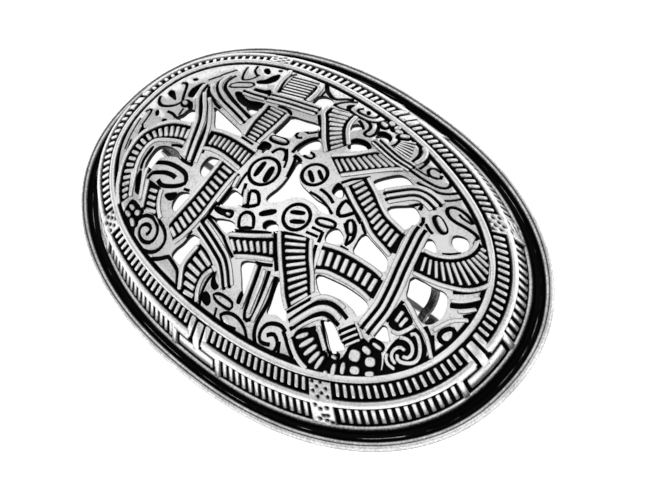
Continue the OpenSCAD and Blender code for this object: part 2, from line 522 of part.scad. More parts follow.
// Skin of the dome as one closed surface.
module skin() {
  half = coarse / 2;
  out = concat(
    [for (r = foot_skin) coarse_row(r)],
    [for (r = lower_ring) fine_row(r, true)],
    [for (r = middle_rail) coarse_row(r)],
    [for (r = upper_ring) fine_row(r, false)],
    [for (r = inner_rail) coarse_row(r)],
    [for (q = field_steps) field_row(q, 0)]
  );
  under = concat([for (r = inner_skin) coarse_row(r)], [for (q = field_steps) field_row(q, wall)]);
  rows = concat(out, under);
  starts = [for (i = 0, a = 0; i < len(rows); a = a + len(rows[i]), i = i + 1) a];
  o = len(out);
  u = len(rows);
  tops = starts[u - 1] + len(rows[u - 1]);
  pts = concat([for (r = rows) each r], [[0, 0, field_foot + crown_rise], [0, 0, field_foot + crown_rise - wall]]);
  faces = concat(
    [for (k = [0 : o - 2]) each join_rows(starts[k], len(rows[k]), starts[k + 1], len(rows[k + 1]))],
    [for (i = [0 : half - 1]) [starts[o - 1] + i, tops, starts[o - 1] + (i + 1) % half]],
    [for (k = [o : u - 2]) each flip(join_rows(starts[k], len(rows[k]), starts[k + 1], len(rows[k + 1])))],
    [for (i = [0 : half - 1]) [starts[u - 1] + i, starts[u - 1] + (i + 1) % half, tops + 1]],
    flip(join_rows(0, coarse, starts[o], coarse))
  );
  polyhedron(pts, faces, convexity = 8);
}

// Everything that stands on the ground of the openwork.
module relief() {
  for (row = bands) band(row);
  for (row = straps) strap(row);
  for (row = ridges) ridge(row[1], row[0], rail_height);
  for (row = spirals) spiral(row);
  for (row = eyes) round_eye(row);
  for (row = pads) pad(oblong(row[0], row[1], row[2], row[3], row[4]), rail_height);
  for (row = plates) pad(row, rail_height);
}

// The two lugs that carry the rivet, joined to the underside of the dome.
module lugs() {
  for (k = [-1, 1]) translate([hinge_x, hinge_y + k * (lug_space + lug_wall) / 2, 0]) rotate([90, 0, 0]) difference() {
    linear_extrude(height = lug_wall, center = true) hull() {
      translate([0, pin_height]) circle(r = 1.6, $fn = 16);
      polygon([[-1.4, 7.9], [1.4, 9.1], [0, 7.9]]);
    }
    translate([0, pin_height, 0]) cylinder(d = (rivet_across + 2 * seat) / cos(11.25), h = lug_wall + 1, center = true, $fn = 16);
  }
}

// Bent strip that the pin rests in.
module catch() {
  n = len(catch_line);
  pts = [
    for (i = [0 : n - 1], k = [0 : 3]) let (q = catch_line[i] + side(catch_line, i) * catch_wall / 2 * (k % 3 == 0 ? 1 : -1))
      [catch_x + catch_width / 2 * (k < 2 ? 1 : -1), q[0], q[1]]
  ];
  faces = concat(
    [for (i = [0 : n - 2], k = [0 : 3]) let (a = 4 * i, m = (k + 1) % 4) each [[a + k, a + 4 + k, a + m], [a + m, a + 4 + k, a + 4 + m]]],
    [[0, 1, 2], [0, 2, 3], [4 * n - 4, 4 * n - 2, 4 * n - 3], [4 * n - 4, 4 * n - 1, 4 * n - 2]]
  );
  polyhedron(pts, faces, convexity = 4);
}

module casting() {
  color("silver") union() {
    difference() {
      skin();
      for (g = gaps) translate([0, 0, field_foot - 3.4]) linear_extrude(height = crown_rise + 6) polygon(g);
    }
    relief();
    lugs();
    catch();
  }
}

module pin() {
  reach = tip_x - hinge_x;
  color("gainsboro") translate([hinge_x, hinge_y, pin_height]) difference() {
    union() {
      rotate([90, 0, 0]) cylinder(d = eye_across, h = lug_space - 2 * fit, center = true, $fn = 48);
      rotate([0, 0, atan2(tip_y - hinge_y, reach)]) rotate([0, 90, 0]) {
        translate([0, 0, 1.1]) cylinder(d = pin_wire, h = reach - 6.1, $fn = 48);
        translate([0, 0, reach - 5]) cylinder(d1 = pin_wire, d2 = 0.2, h = 5, $fn = 48);
      }
    }
    rotate([90, 0, 0]) cylinder(d = rivet_across + 2 * fit, h = lug_space + 2, center = true, $fn = 48);
  }
}

module hinge_rivet() {
  grip = lug_space + 2 * lug_wall + 2 * seat;
  color("gainsboro") translate([hinge_x, hinge_y, pin_height]) rotate([90, 0, 0]) union() {
    cylinder(d = rivet_across, h = grip + 0.4, center = true, $fn = 48);
    for (k = [-1, 1]) translate([0, 0, k * (grip / 2 + 0.25)]) cylinder(d = rivet_across + 0.8, h = 0.5, center = true, $fn = 48);
  }
}

casting();
pin();
hinge_rivet();
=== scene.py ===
"""Looks of the tortoise brooch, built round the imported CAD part.

The casting is modelled again with its full relief: a smooth dome whose gaps are cut through, ladder rings,
rails with rounded crests, rungs, straps, eyes and spirals. Plan positions are millimetres, X along the long
axis and Y along the short one, and every raised thing is bent over the dome by place_on_dome().
"""
import json

import bmesh
import bpy
import numpy as np
from mathutils import Matrix, Vector

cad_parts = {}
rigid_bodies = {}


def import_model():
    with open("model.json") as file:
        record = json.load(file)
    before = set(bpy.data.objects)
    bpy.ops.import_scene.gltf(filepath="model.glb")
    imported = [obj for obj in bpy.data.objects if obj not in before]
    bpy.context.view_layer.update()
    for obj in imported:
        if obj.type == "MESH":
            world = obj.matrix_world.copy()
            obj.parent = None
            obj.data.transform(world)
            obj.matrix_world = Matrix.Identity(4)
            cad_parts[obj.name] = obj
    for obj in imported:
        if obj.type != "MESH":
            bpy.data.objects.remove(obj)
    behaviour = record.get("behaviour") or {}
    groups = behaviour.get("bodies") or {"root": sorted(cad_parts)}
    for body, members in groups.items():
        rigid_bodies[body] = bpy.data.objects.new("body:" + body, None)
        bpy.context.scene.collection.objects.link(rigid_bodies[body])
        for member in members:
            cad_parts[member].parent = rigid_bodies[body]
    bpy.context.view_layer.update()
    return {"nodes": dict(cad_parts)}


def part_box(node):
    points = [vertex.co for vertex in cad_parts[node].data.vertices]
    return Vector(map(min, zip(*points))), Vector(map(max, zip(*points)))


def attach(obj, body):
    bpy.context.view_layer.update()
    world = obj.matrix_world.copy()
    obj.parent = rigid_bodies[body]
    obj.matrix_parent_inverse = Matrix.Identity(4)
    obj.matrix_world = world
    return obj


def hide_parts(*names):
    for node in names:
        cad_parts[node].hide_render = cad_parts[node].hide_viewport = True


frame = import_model()

MM = 0.001
_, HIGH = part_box("casting")
HALF_LENGTH = HIGH.x / MM
HALF_WIDTH = HIGH.y / MM

# Dome: the openwork field's edge, height at that edge, rise to the crest, wall and squareness of the oval
FIELD_LENGTH = HALF_LENGTH - 7.5
FIELD_WIDTH = HALF_WIDTH - 7.1
FIELD_FOOT = 7.4
CROWN_RISE = 6.6
WALL = 0.8
POWER = 2.2

# Relief: heights over the ground and how deep each piece is sunk into it
RAIL = 0.75
RUNG = 0.62
SINK = 0.35
PLATE = 0.52
# How far the foot of a groove stays inside its drawn edge, and the step with which long lines are redrawn.
EASE = 0.03
STEP = 0.4

# The dome's outer skin from the resting edge to the foot of the ladder rings.
# Columns: distance in from the edge lengthwise, the same sideways, height, share of polish.
# On the flange that share also paints shade: its outer side is painted darker, and a thin dark line
# is painted along its middle over a shallow dip.
RIM = [
    (0.00, 0.00, 0.00, 0.70), (0.00, 0.00, 0.45, 0.85), (0.10, 0.10, 0.78, 0.90), (0.28, 0.28, 0.96, 0.95),
    (0.45, 0.45, 1.00, 0.70), (0.52, 0.52, 0.90, 0.25), (0.60, 0.60, 1.00, 0.70), (0.85, 0.85, 1.06, 0.90),
    (1.08, 1.06, 0.94, 0.60), (1.20, 1.18, 0.62, 0.10), (1.35, 1.30, 0.44, 0.00), (1.75, 1.50, 0.36, 0.00),
    (1.86, 1.56, 0.44, 0.16), (2.02, 1.64, 0.46, 0.16), (2.14, 1.70, 0.36, 0.00), (2.85, 1.98, 0.44, 0.00),
    (3.05, 2.15, 0.80, 0.05), (3.22, 2.34, 1.16, 0.50), (3.36, 2.48, 1.36, 0.90), (3.52, 2.64, 1.46, 0.90),
    (3.68, 2.80, 1.45, 0.50),
]
# Row of that skin, the thin ridge in the channel, which is painted lighter in patches as painted highlights.
HIGHLIGHT_ROW = 13
# Floor of the ladder rings up to the openwork, same first three columns. The middle rail stands on row 1.
RING_FLOOR = [(3.80, 3.00, 1.35), (4.95, 4.55, 5.20), (6.95, 6.60, 7.05)]
# The light rail round the openwork: distances in from the edge, its own squareness, its width and height.
INNER_RAIL = (7.50, 7.00)
INNER_POWER = 2.18
INNER_RAIL_SIZE = (1.0, 0.56)
# Where the casting's rail strays from that oval. Columns: turn, spread, distance outward.
STRAYS = [(2.30, 0.35, 0.40), (-2.20, 0.35, 0.35), (1.15, 0.35, -0.45), (3.14, 0.30, -0.40)]
# Plate's edge along that rail. Columns: distance in from the rail's middle, height over the ground, polish.
FIELD_EDGE = [(0.0, -0.02, 0.0), (0.72, -0.02, 0.0), (0.78, PLATE * 0.75, 0.1), (0.92, PLATE, 1.0)]
# Inner skin from the resting edge up, same first three columns as the outer skin.
INNER_SKIN = [
    (3.70, 2.80, 0.00), (4.60, 3.70, 0.60), (5.30, 4.60, 1.80), (5.90, 5.40, 3.40), (6.70, 6.40, 4.80),
    (8.10, 7.70, 5.90),
]
# Walls of a bed cut into the plate and of a gap cut through it, from the bottom up to clear of the plate.
# Columns: distance outside the outline, height over the ground.
BED_WALL = [(0.0, -0.02), (0.04, PLATE * 0.75), (0.16, PLATE + 0.06), (0.16, 1.4)]
GAP_WALL = [(0.40, -4.4), (0.40, -0.75), (0.02, 0.15), (0.05, 0.36), (0.16, PLATE + 0.06), (0.16, 1.4)]
# Polish of the plate and of the walls of its cuts. Columns: height over the ground, polish.
PLATE_POLISH = [(-0.6, 0.45), (-0.3, 0.3), (-0.1, 0.0), (0.1, 0.0), (0.36, 0.1), (PLATE, 1.0)]
# Open end of a ridge. Columns: share of the tip's length, share of the ridge's full section there.
TIP_SWELL = [(0.0, 0.45), (0.25, 0.75), (0.6, 0.95), (1.0, 1.0)]

# Centres of the eight divisions of the rings. Columns: x, y, a stem on a foot or a dotted panel.
DIVISIONS = [
    (35.0, 0.2, "stem"),
    (23.6, 16.6, "panel"),
    (1.0, 22.0, "stem"),
    (-21.6, 18.0, "panel"),
    (-35.0, 0.0, "stem"),
    (-22.6, -17.4, "panel"),
    (0.9, -22.0, "stem"),
    (21.9, -17.9, "panel"),
]
# Ladder bands. Columns: rungs, where the first and the last rung meet the one rail as shares of its length,
# the same on the other rail, the one rail, the other rail.
BANDS = [
    (9, (0.06, 0.95), (0.03, 0.93),
     ((-7.1, 14.8), (-6.6, 13.3), (-5.5, 12.4), (-4, 11.1), (-2, 9.4), (-0.3, 8.2)),
     ((-2.9, 16.1), (-2.4, 14.6), (-1.6, 13.4), (-0.5, 12.4), (0.9, 11.3))),
    (9, (0.08, 0.97), (0.06, 0.9),
     ((0.6, 8.2), (2.6, 10.5), (3.6, 12.2), (4.3, 13.3)),
     ((4.2, 6.6), (5.6, 8.4), (7, 10.4), (8.5, 12.5), (9.4, 13.5))),
    (9, (0.05, 0.95), (0.07, 0.94),
     ((-13.9, 9.3), (-13.5, 8), (-13.1, 6), (-12.6, 4.4), (-12.1, 3.1)),
     ((-9.9, 9.9), (-9.5, 8), (-9.3, 6), (-9.2, 3.3))),
    (9, (0.14, 0.91), (0.08, 0.96),
     ((-17.2, 1.3), (-15, 1.95), (-12.3, 2.25), (-8.1, 2.28)),
     ((-15.9, -1.8), (-14.5, -1.25), (-12, -1.05), (-8.1, -1.3))),
    (13, (0.05, 0.99), (0.04, 0.95),
     ((-11.6, -1.7), (-11.4, -5), (-11.5, -8), (-11.9, -10.5), (-12.4, -13)),
     ((-8, -1.9), (-8, -6), (-8, -9), (-8.3, -11), (-8.9, -13), (-9.8, -14.6))),
    (18, (0, 0.97), (0.03, 0.95),
     ((-20.8, 0.3), (-22.4, -0.1), (-24, -0.7), (-25.3, -1.6), (-26.5, -2.9), (-27.4, -4.4), (-27.6, -6),
      (-27.3, -8), (-26.6, -9.9), (-25.8, -11.2), (-24.8, -12.6), (-23.6, -13.8), (-22.6, -14.6)),
     ((-19.1, -2.6), (-20.3, -2.8), (-21.8, -3.3), (-23.2, -3.9), (-24.2, -4.5), (-24.7, -5.6),
      (-24.6, -7), (-24.1, -8.5), (-23.2, -10), (-22.2, -11.6), (-21.5, -12.8))),
    (11, (0.04, 0.93), (0.05, 0.92),
     ((7.2, 9), (8.5, 8.5), (10, 7.9), (12, 6.9), (13.6, 6.3), (15, 6.1), (17.2, 5.9)),
     ((6.2, 5.9), (8.2, 5), (10, 4.3), (12, 3.6), (13.5, 2.9), (15, 2.5), (16.5, 2.3), (18.2, 2))),
    (7, (0.04, 0.95), (0.03, 0.93),
     ((-2.7, -9.4), (0, -8), (2, -6.8), (3.4, -5.9)),
     ((0.2, -11.2), (2, -10.2), (4, -9.2), (5.8, -8.4))),
    (10, (0.07, 0.96), (0.03, 0.96),
     ((3.6, -4.8), (5, -6.3), (7, -8.3), (8.5, -9.7), (10, -11.2), (11.6, -12.4)),
     ((8.2, -3), (9, -4), (10.2, -5.3), (11.6, -6.6), (13.4, -8.6))),
    (6, (0.05, 0.98), (0.02, 0.9),
     ((-5.8, -12.9), (-6.2, -14.5), (-6.4, -15.8), (-6.1, -16.8), (-5.4, -18), (-4.9, -18.9)),
     ((-1.6, -14.2), (-2.3, -15.5), (-2.3, -16.7), (-2, -17.7), (-1.3, -18.8))),
    (13, (0.06, 0.92), (0.07, 0.97),
     ((20.8, 5.8), (22, 6.1), (23, 6.7), (24, 7.6), (24.7, 8.8), (25, 10), (24.8, 11.2), (24.3, 12)),
     ((21.9, 2.3), (24, 2.9), (26, 3.7), (28, 4.9), (29.1, 6), (29.7, 7.2), (30, 8.5), (29.2, 9.7),
      (28, 10.9), (26.6, 12))),
    (8, (0.03, 0.94), (0.04, 0.91),
     ((10, -2.6), (12, -1.8), (14, -1.3), (16, -1), (18, -0.8), (19.4, -0.9)),
     ((11.6, -6.2), (13, -5.3), (14.5, -4.9), (16.5, -4.5), (18.5, -4.3), (20.3, -4.4))),
    (4, (0.33, 0.98), (0.14, 0.8),
     ((-20.4, -9.5), (-19.5, -11), (-18.7, -12.4), (-18.2, -13.3)),
     ((-17, -9.6), (-16.3, -11), (-15.2, -12.2), (-14, -13))),
]
# Straps of close ridges. Columns: ridges, space between ridges, points of the middle line.
STRAPS = [
    (3, 0.72, (2.6, 14.6), (6, 14.25), (8, 14.2), (10, 14.45)),
    (3, 0.9, (-7.3, -10.6), (-5, -11.2), (-3, -11.8), (-1, -12.5), (0.5, -13.6), (1.9, -15)),
    (3, 1.04, (11.2, 8.3), (12.2, 9.9), (13.2, 11.4), (14.2, 12.1), (15.5, 12.3), (17.2, 12.1)),
    (3, 1.08, (18.3, 8), (18.6, 6.9), (19.2, 5.3), (19.9, 3.4), (20.6, 1.4), (21.3, -0.5), (21.9, -2.5),
     (22.3, -4.5), (22.3, -7.9)),
    (3, 0.85, (-15, 10.45), (-12, 11.5), (-9, 12.4), (-7.3, 13)),
    (2, 0.85, (-18.9, 9.05), (-17, 9.4), (-15, 10)),
    (4, 0.78, (21.6, -8.5), (20.3, -10.6)),
]
# Crests that stand on the plate. Columns: width, points of the line.
CRESTS = [
    (0.6, (-22.6, 5.3), (-21.2, 4.4), (-19.8, 3.15), (-18.4, 1.85), (-17.3, 0.45), (-16.2, -1.5),
     (-14.9, -4.2)),
    (0.65, (-24.2, 5.7), (-22.7, 4.5), (-21.4, 3.5), (-20, 2.1), (-19.2, 1), (-18.6, 0), (-17.5, -2),
     (-16.2, -4.4)),
    (0.6, (-25.5, 6.9), (-25, 5.4), (-23.8, 4), (-22.4, 2.8), (-21, 1.5), (-20.1, 0.2), (-18.8, -2),
     (-17.4, -4.3)),
    (0.6, (-23.7, 10.4), (-23.6, 8.6), (-22.4, 7.4), (-20, 6.45), (-18, 6.1), (-16, 5.75), (-13.8, 5.3)),
    (0.55, (-24.4, 7.4), (-23, 6.3), (-20, 5.5), (-18, 5.15), (-16, 4.8), (-13.8, 4.4)),
    (0.55, (-7.3, -2), (-7, -3.2), (-6.75, -4)),
    (0.65, (-4.9, -2.9), (-4.3, -3.8), (-3.4, -4.9)),
    (0.6, (4, -10.2), (4.6, -12), (5.1, -14), (5.5, -16)),
    (0.7, (5.4, -10), (6.1, -12), (6.5, -14), (6.9, -15.9)),
    (0.6, (7, -10), (7.5, -12), (7.9, -14), (8.1, -16.4)),
    (0.75, (7.6, 18.6), (8.7, 18), (9.4, 16.8), (9.5, 15.3)),
    (0.85, (-12, 17), (-11.2, 16.6), (-10.6, 15.4), (-10.2, 14.2), (-10.1, 13.3)),
    (0.75, (-17.7, 16.5), (-17, 15.5), (-16.6, 14), (-15.8, 12.6), (-15.1, 11.4)),
    (0.6, (23.7, -1.2), (25, -1.6), (27, -2.5), (29, -3.1), (30.5, -4.2), (31.4, -4.9)),
    (0.6, (31.6, 2.5), (30.2, 1), (29.6, -0.4), (29.2, -2)),
    (0.55, (27.3, -4.45), (27.75, -3.85), (28.4, -4), (29.2, -4.6), (29.85, -5.4), (30.1, -6.2),
     (29.9, -6.9), (29.3, -7.5), (28.5, -7.9), (27.9, -7.8), (27.6, -7.3)),
    (0.54, (26.4, -5.65), (27.1, -5.2), (27.9, -5.1), (28.6, -5.4), (29.05, -6), (29.1, -6.7),
     (28.7, -7.1), (28.2, -7.1)),
    (0.5, (28.2, -6.5), (27.7, -6.35), (27.2, -6.65), (26.95, -7.3), (27.1, -8), (27.6, -8.4),
     (28.3, -8.5)),
    (0.45, (26.5, -8.1), (26.8, -8.8), (27.5, -9.2), (28.6, -9.1)),
    (0.55, (24.6, -2.5), (24.8, -4.4)),
    (0.55, (25.6, -2.8), (25.6, -4.6)),
    (0.6, (27, -2.9), (26.6, -4.2), (26, -5.3), (25, -5.6)),
    (0.6, (14.2, -14.9), (15.5, -15.7), (17, -16.3), (18.6, -16.5)),
    (0.6, (16.7, -11.3), (18, -12.2), (19.5, -13.2)),
    (0.65, (13.8, -9.6), (14.6, -8.3), (15.8, -7.6), (17, -7.35), (18.4, -7.35)),
    (0.9, (13.2, -13.5), (14.2, -11.5), (15.1, -9.9), (16.1, -9), (17.4, -8.7), (18.8, -8.9)),
    (0.45, (14.3, -13.6), (15.1, -12.1), (15.9, -10.9), (16.7, -10.2), (17.4, -9.95)),
    (0.35, (20.5, -7.8), (21.6, -8.3), (22.8, -9)),
    (0.6, (2.6, 18.2), (3.3, 18.1), (3.6, 18.6)),
    (0.55, (30.5, 6), (30.1, 5), (29.2, 3.7), (28.1, 2.8)),
    (0.5, (31.3, 4.4), (30.6, 3.2), (29.7, 2.3)),
    (0.6, (-19.1, -2.6), (-20.3, -2.8), (-21.8, -3.3), (-23.2, -3.9)),
    (0.6, (-21.9, -8.2), (-21.2, -9.8), (-20.1, -11.4), (-19.4, -12.6)),
    (0.6, (-24.2, -9.4), (-23, -10.8), (-22, -12), (-21.3, -12.9)),
]
# Fine engraved lines, same columns.
GROOVES = [
    (0.45, (-6.2, 3.5), (-6.05, 4.3), (-5.5, 4.75), (-4.8, 4.8), (-4.2, 4.3), (-3.75, 3.55)),
    (0.35, (-6.05, 8.15), (-5.95, 7.7), (-5.5, 7.5), (-4.95, 7.85)),
    (0.35, (-5.4, 9.1), (-4.9, 9.1), (-4.4, 9.7), (-4.2, 10)),
    (0.35, (-1.85, 6.85), (-1.2, 6.85), (-0.85, 6.45), (-1.3, 5.95), (-2.3, 5.85), (-3, 5.9)),
    (0.45, (-3.9, 5.3), (-4.15, 6.3), (-4.1, 7.5), (-3.8, 8.6), (-3.3, 9.3)),
    (0.24, (-4.9, 5.1), (-4, 4.3), (-3.4, 3.6), (-2.9, 2.7)),
    (0.5, (-3.2, 5), (-2.3, 5), (-1.8, 4.8)),
    (0.42, (-2.9, 4.9), (-2.3, 4), (-1.8, 2.9), (-1.4, 1.9)),
    (0.28, (3.1, 2.05), (4.2, 2.2), (5.3, 2.15), (6.6, 1.9), (7.8, 1.5)),
    (0.5, (-7.05, -3.9), (-7, -5.5), (-6.95, -7)),
    (0.26, (-12, 2.8), (-9.7, 2.8)),
    (0.35, (3.9, 3.3), (5, 3.3), (6, 3.1), (6.7, 2.85)),
    (0.28, (6.2, 5.5), (7.2, 5), (9.2, 4.2), (10.4, 3.8), (11.8, 3)),
    (0.38, (5.3, 6), (5.9, 7.3), (6.6, 8.2), (7.3, 9.2)),
    (0.28, (7.2, -1.7), (8.6, -1.4)),
    (0.28, (7, -2.7), (8.6, -2.3)),
    (0.4, (8.8, -1.4), (9.3, -2.7)),
    (0.6, (-11.4, 17.9), (-10, 16.9), (-8, 16.5), (-7, 17.6), (-6.3, 18.3)),
    (0.4, (-12, 16.5), (-11.4, 15.9), (-11.1, 15), (-10.7, 14), (-10.6, 13.3)),
    (0.35, (-10.2, 16.6), (-9.9, 15.8)),
    (0.5, (-5.5, 18.3), (-6.2, 17.6), (-6.65, 16.8), (-6.9, 16.1), (-7, 15.5)),
    (0.38, (-6.6, 15.6), (-5.9, 15.7), (-5.1, 16), (-4.6, 16.2)),
    (0.42, (-6.4, 14.75), (-5.6, 15.15), (-4.6, 15.5), (-3.9, 15.6), (-3.15, 15.35)),
    (0.46, (-1.5, 18.9), (-1.1, 18.3), (-1.4, 17.6), (-2.3, 17.2), (-3.6, 17), (-4.1, 17.3), (-3.8, 17.9)),
    (0.48, (-4.8, 16.3), (-3.6, 16.25), (-2.4, 16.35), (-1.4, 16.6), (-0.5, 17.1), (0, 17.8), (0.1, 18.6)),
    (0.35, (-6.6, 12.5), (-5, 11.3), (-3.9, 10.3), (-3, 9.5)),
    (0.45, (-12.3, 10.1), (-10.5, 10.4), (-9.6, 9.9)),
    (0.35, (4.4, 17.3), (4.8, 16.4), (4.8, 15.4)),
    (0.28, (4.9, 15.2), (8.8, 15.15)),
    (0.5, (8.9, 15.4), (8.7, 16.6), (8.2, 17.5), (7.2, 18.4), (6.2, 18.9)),
    (0.4, (9.2, 18.7), (9.8, 17.4), (10, 16.5)),
    (0.46, (-1.2, 16.5), (-0.5, 16.4), (0.1, 15.9), (0.35, 15.2), (0.35, 14.6), (0.8, 14.3), (1.4, 14.5),
     (1.6, 15.1), (1.35, 15.9), (0.9, 16.6), (0.3, 17.2)),
    (0.45, (-2, 15.75), (-1.4, 15.6), (-0.8, 15.3), (-0.35, 14.95)),
    (0.45, (12.7, 17), (11.7, 16.9), (11.3, 16.3), (11.6, 15.7), (12.4, 15.4), (13.2, 15.7), (13.6, 16.1),
     (13.3, 16.5)),
    (0.4, (10, 17.3), (10.4, 16.3), (10.5, 15.3)),
    (0.3, (10.3, 14.9), (11.5, 15), (12.3, 15.2)),
    (0.45, (10.2, 14.1), (12, 14.2), (13.8, 14.5), (15, 15), (15.4, 15.8), (15.1, 16.5), (14.2, 17.1)),
    (0.45, (12.3, 13.2), (13.5, 13.5), (14.6, 13.8), (15.6, 14.2), (16.3, 14.9), (16.7, 15.6), (17, 16.3)),
    (0.35, (16.7, 13.4), (17.3, 14.2), (17.8, 15.2), (18, 15.9)),
    (0.5, (22, 13.7), (21, 14.1), (19.5, 14.15), (18.4, 13.7), (18.1, 13), (18.6, 12.4), (19.5, 12.1),
     (20.5, 12.15), (22, 12.5), (23.5, 12.65), (24.2, 12.4)),
    (0.35, (19.9, 13.4), (20.6, 13.3), (21.8, 13.5)),
    (0.45, (14.6, 9.6), (15.4, 10.9), (15.9, 10.1)),
    (0.4, (17.2, 9.4), (17.6, 9), (17.8, 8.3)),
    (0.35, (18.2, 8.9), (19, 8.6), (19.7, 8.5)),
    (0.5, (17.2, 5.6), (17.5, 4.5), (18.2, 2.8)),
    (0.35, (10, 3.8), (11, 3.3), (11.8, 3)),
    (0.3, (11.9, 3.2), (12.6, 2.7), (13.4, 2.3)),
    (0.4, (10.6, 2.5), (11.2, 2.4), (12, 1.8), (12.6, 0.8), (12.7, 0), (12.5, -0.7)),
    (0.28, (10.3, 1.5), (11, 1), (11.8, 0.6), (12.4, -0.6)),
    (0.28, (12.2, -1.3), (13.2, -1.15)),
    (0.5, (19.6, -1.4), (20, -3), (20.2, -3.9)),
    (0.5, (20.9, 5.3), (21.5, 3.8), (22, 2.8)),
    (0.28, (24.1, 12.1), (24.4, 11.4)),
    (0.28, (24.3, 8.9), (23.6, 7.9), (22.9, 7.2)),
    (0.62, (30, 7.6), (29.5, 6.4), (28.7, 5.2), (27.6, 4.1)),
    (0.65, (31.1, 5.8), (30.5, 4.4), (29.4, 3), (28.6, 2.4)),
    (0.6, (31.7, 3.8), (30.9, 2.4)),
    (0.5, (28.2, -2.2), (29.5, -2.9), (31, -4), (31.5, -4.6)),
    (0.45, (29.6, -2.5), (30.5, -3.5), (31.6, -4.4)),
    (0.4, (23.7, -1.7), (23.8, -3), (23.8, -5)),
    (0.5, (-7.35, -6.9), (-7.4, -8), (-7.3, -9.2), (-7.6, -10.2)),
    (0.35, (-7.65, -2), (-7.3, -3.2), (-7.05, -4)),
    (0.35, (-6.75, -1.1), (-6.6, -2.2), (-6.3, -3.6)),
    (0.42, (-5.55, -2.5), (-4.9, -3.7), (-4.3, -4.6), (-3.9, -5.2), (-2.6, -4.75)),
    (0.28, (-6.9, -8.9), (-5.7, -8.8)),
    (0.35, (-6.9, -9.2), (-5.5, -9.45), (-4, -9.8), (-3, -10)),
    (0.38, (-3, -10.05), (-1.5, -10.8), (0, -11.4)),
    (0.38, (-5.6, -12.8), (-4.4, -13), (-3.2, -13.4), (-2.2, -13.9)),
    (0.35, (-2.3, -8.6), (0, -7.35), (1.5, -6.5), (2.8, -5.85)),
    (0.5, (3.3, -5.3), (4.4, -6.6), (5.8, -8), (7, -9.2)),
    (0.4, (3.7, -10.1), (4.6, -9.8), (6, -9.1)),
    (0.38, (4.4, -4.7), (5.5, -4.2), (6.8, -3.7), (7.8, -3.4)),
    (0.4, (9.4, -3.4), (10, -4.6), (10.8, -5.7), (11.7, -6.5)),
    (0.5, (4.5, -10), (5.1, -11.8), (5.5, -13.3), (5.9, -14.7), (6.3, -16), (6.9, -16.7), (7.6, -16.2),
     (7.6, -15), (7.2, -13.2), (6.7, -11.5), (6.2, -10)),
    (0.6, (7.6, -10), (8.1, -11.2), (8.6, -12.8), (8.7, -14.2), (8.7, -15.5), (8.9, -16.7), (9.4, -17.6),
     (10.4, -18.4), (12, -18.4), (13.3, -17.9)),
    (0.5, (13.1, -14.6), (12.2, -14.4), (11.2, -14.7), (10.3, -15.3), (9.9, -16.2), (10, -17),
     (10.5, -17.6), (11.3, -17.5), (12, -17.2)),
    (0.5, (11.1, -16.4), (11.7, -15.85), (12.3, -15.9), (12.9, -16.3), (13.2, -17), (13, -17.8)),
    (0.5, (12.9, -14.8), (13.6, -15.2), (14.8, -16), (15.9, -16.6)),
    (0.45, (13.2, -16.2), (13.8, -17.3)),
    (0.45, (3.1, -18.2), (3.6, -17.6), (4.6, -17.2), (5.6, -17.1), (6.8, -17.3), (7.8, -17.8),
     (8.6, -18.5)),
    (0.38, (3.2, -18.3), (4, -18.8), (5, -18.7), (6.2, -18.4)),
    (0.4, (2, -17.9), (2.3, -18.8)),
    (0.35, (-8.1, -12), (-8.2, -12.9)),
    (0.55, (-12, -18), (-10.5, -17.2), (-9.4, -16.4), (-8.9, -16.5), (-7.3, -16.95), (-6.6, -17.4),
     (-6, -18.3), (-5.3, -19)),
    (0.45, (-1.2, -14.5), (-1.5, -15.5), (-1.5, -16.5), (-1.3, -17.8), (-0.8, -18.7)),
    (0.35, (11.9, -12.5), (12.55, -11.3), (13.25, -10), (13.6, -9.3)),
    (0.5, (12.8, -13.2), (13.65, -11.3), (14.35, -9.8), (15.2, -8.7), (16.4, -8.1), (17.8, -7.95),
     (19.3, -8.2)),
    (0.5, (13.6, -13.9), (14.5, -12.2), (15.35, -10.8), (16.2, -9.8), (17.3, -9.45), (18.9, -9.6)),
    (0.35, (16.8, -10.6), (18, -11.6), (19.3, -12.7), (20.2, -13.1)),
    (0.45, (15.1, -13.6), (15.8, -12.6), (16.5, -11.8)),
    (0.45, (14.5, -14.6), (16, -15.4), (18, -16), (19.5, -16.1)),
    (0.5, (-23, 10.6), (-23.1, 9.5), (-22.8, 8.6), (-22, 7.9), (-20.5, 7.35), (-18.5, 6.8), (-16.5, 6.35),
     (-13.9, 5.95)),
    (0.45, (-24.1, 9.3), (-24.1, 8.3), (-23.4, 7.5), (-22, 6.7), (-20, 6), (-18, 5.6), (-16, 5.25),
     (-13.8, 4.85)),
    (0.4, (-24, 6.5), (-22.8, 5.85), (-21.5, 5.3), (-20.5, 4.95), (-19.3, 4.75)),
    (0.55, (-24.5, 6.9), (-23.7, 6), (-22.4, 5), (-21, 4), (-19.9, 3), (-18.9, 2), (-18.3, 1), (-17.8, 0),
     (-16.8, -2), (-15.6, -4.4)),
    (0.5, (-25.1, 7), (-24.8, 6), (-24.2, 5), (-23.1, 4), (-21.8, 3), (-20.6, 2), (-19.9, 1), (-19.4, 0),
     (-18.2, -2), (-16.8, -4.4)),
    (0.28, (-24.3, 4.2), (-23, 3), (-21.6, 1.75), (-20.6, 0.7), (-20, -0.4), (-19, -2.2)),
    (0.4, (-18.2, -4.6), (-16.8, -4.75), (-15.2, -4.6)),
    (0.35, (-16.9, 1.2), (-16.6, 0.2), (-16, -1), (-15.3, -2.3)),
    (0.45, (-16.4, 16.4), (-16.7, 15.5), (-16.2, 14.2), (-15.3, 12.8), (-14.5, 11.6)),
    (0.35, (-19.2, 9.2), (-17.5, 9.4), (-16, 9.75), (-14.6, 10.2)),
    (0.32, (-23.2, 13), (-22.8, 12.2), (-22, 11.2), (-21.4, 10.7), (-20.7, 11.2), (-20.3, 12),
     (-20.3, 12.8)),
    (0.32, (-22.2, 14.1), (-21.7, 13.2), (-20.8, 12.75), (-20.2, 12.6)),
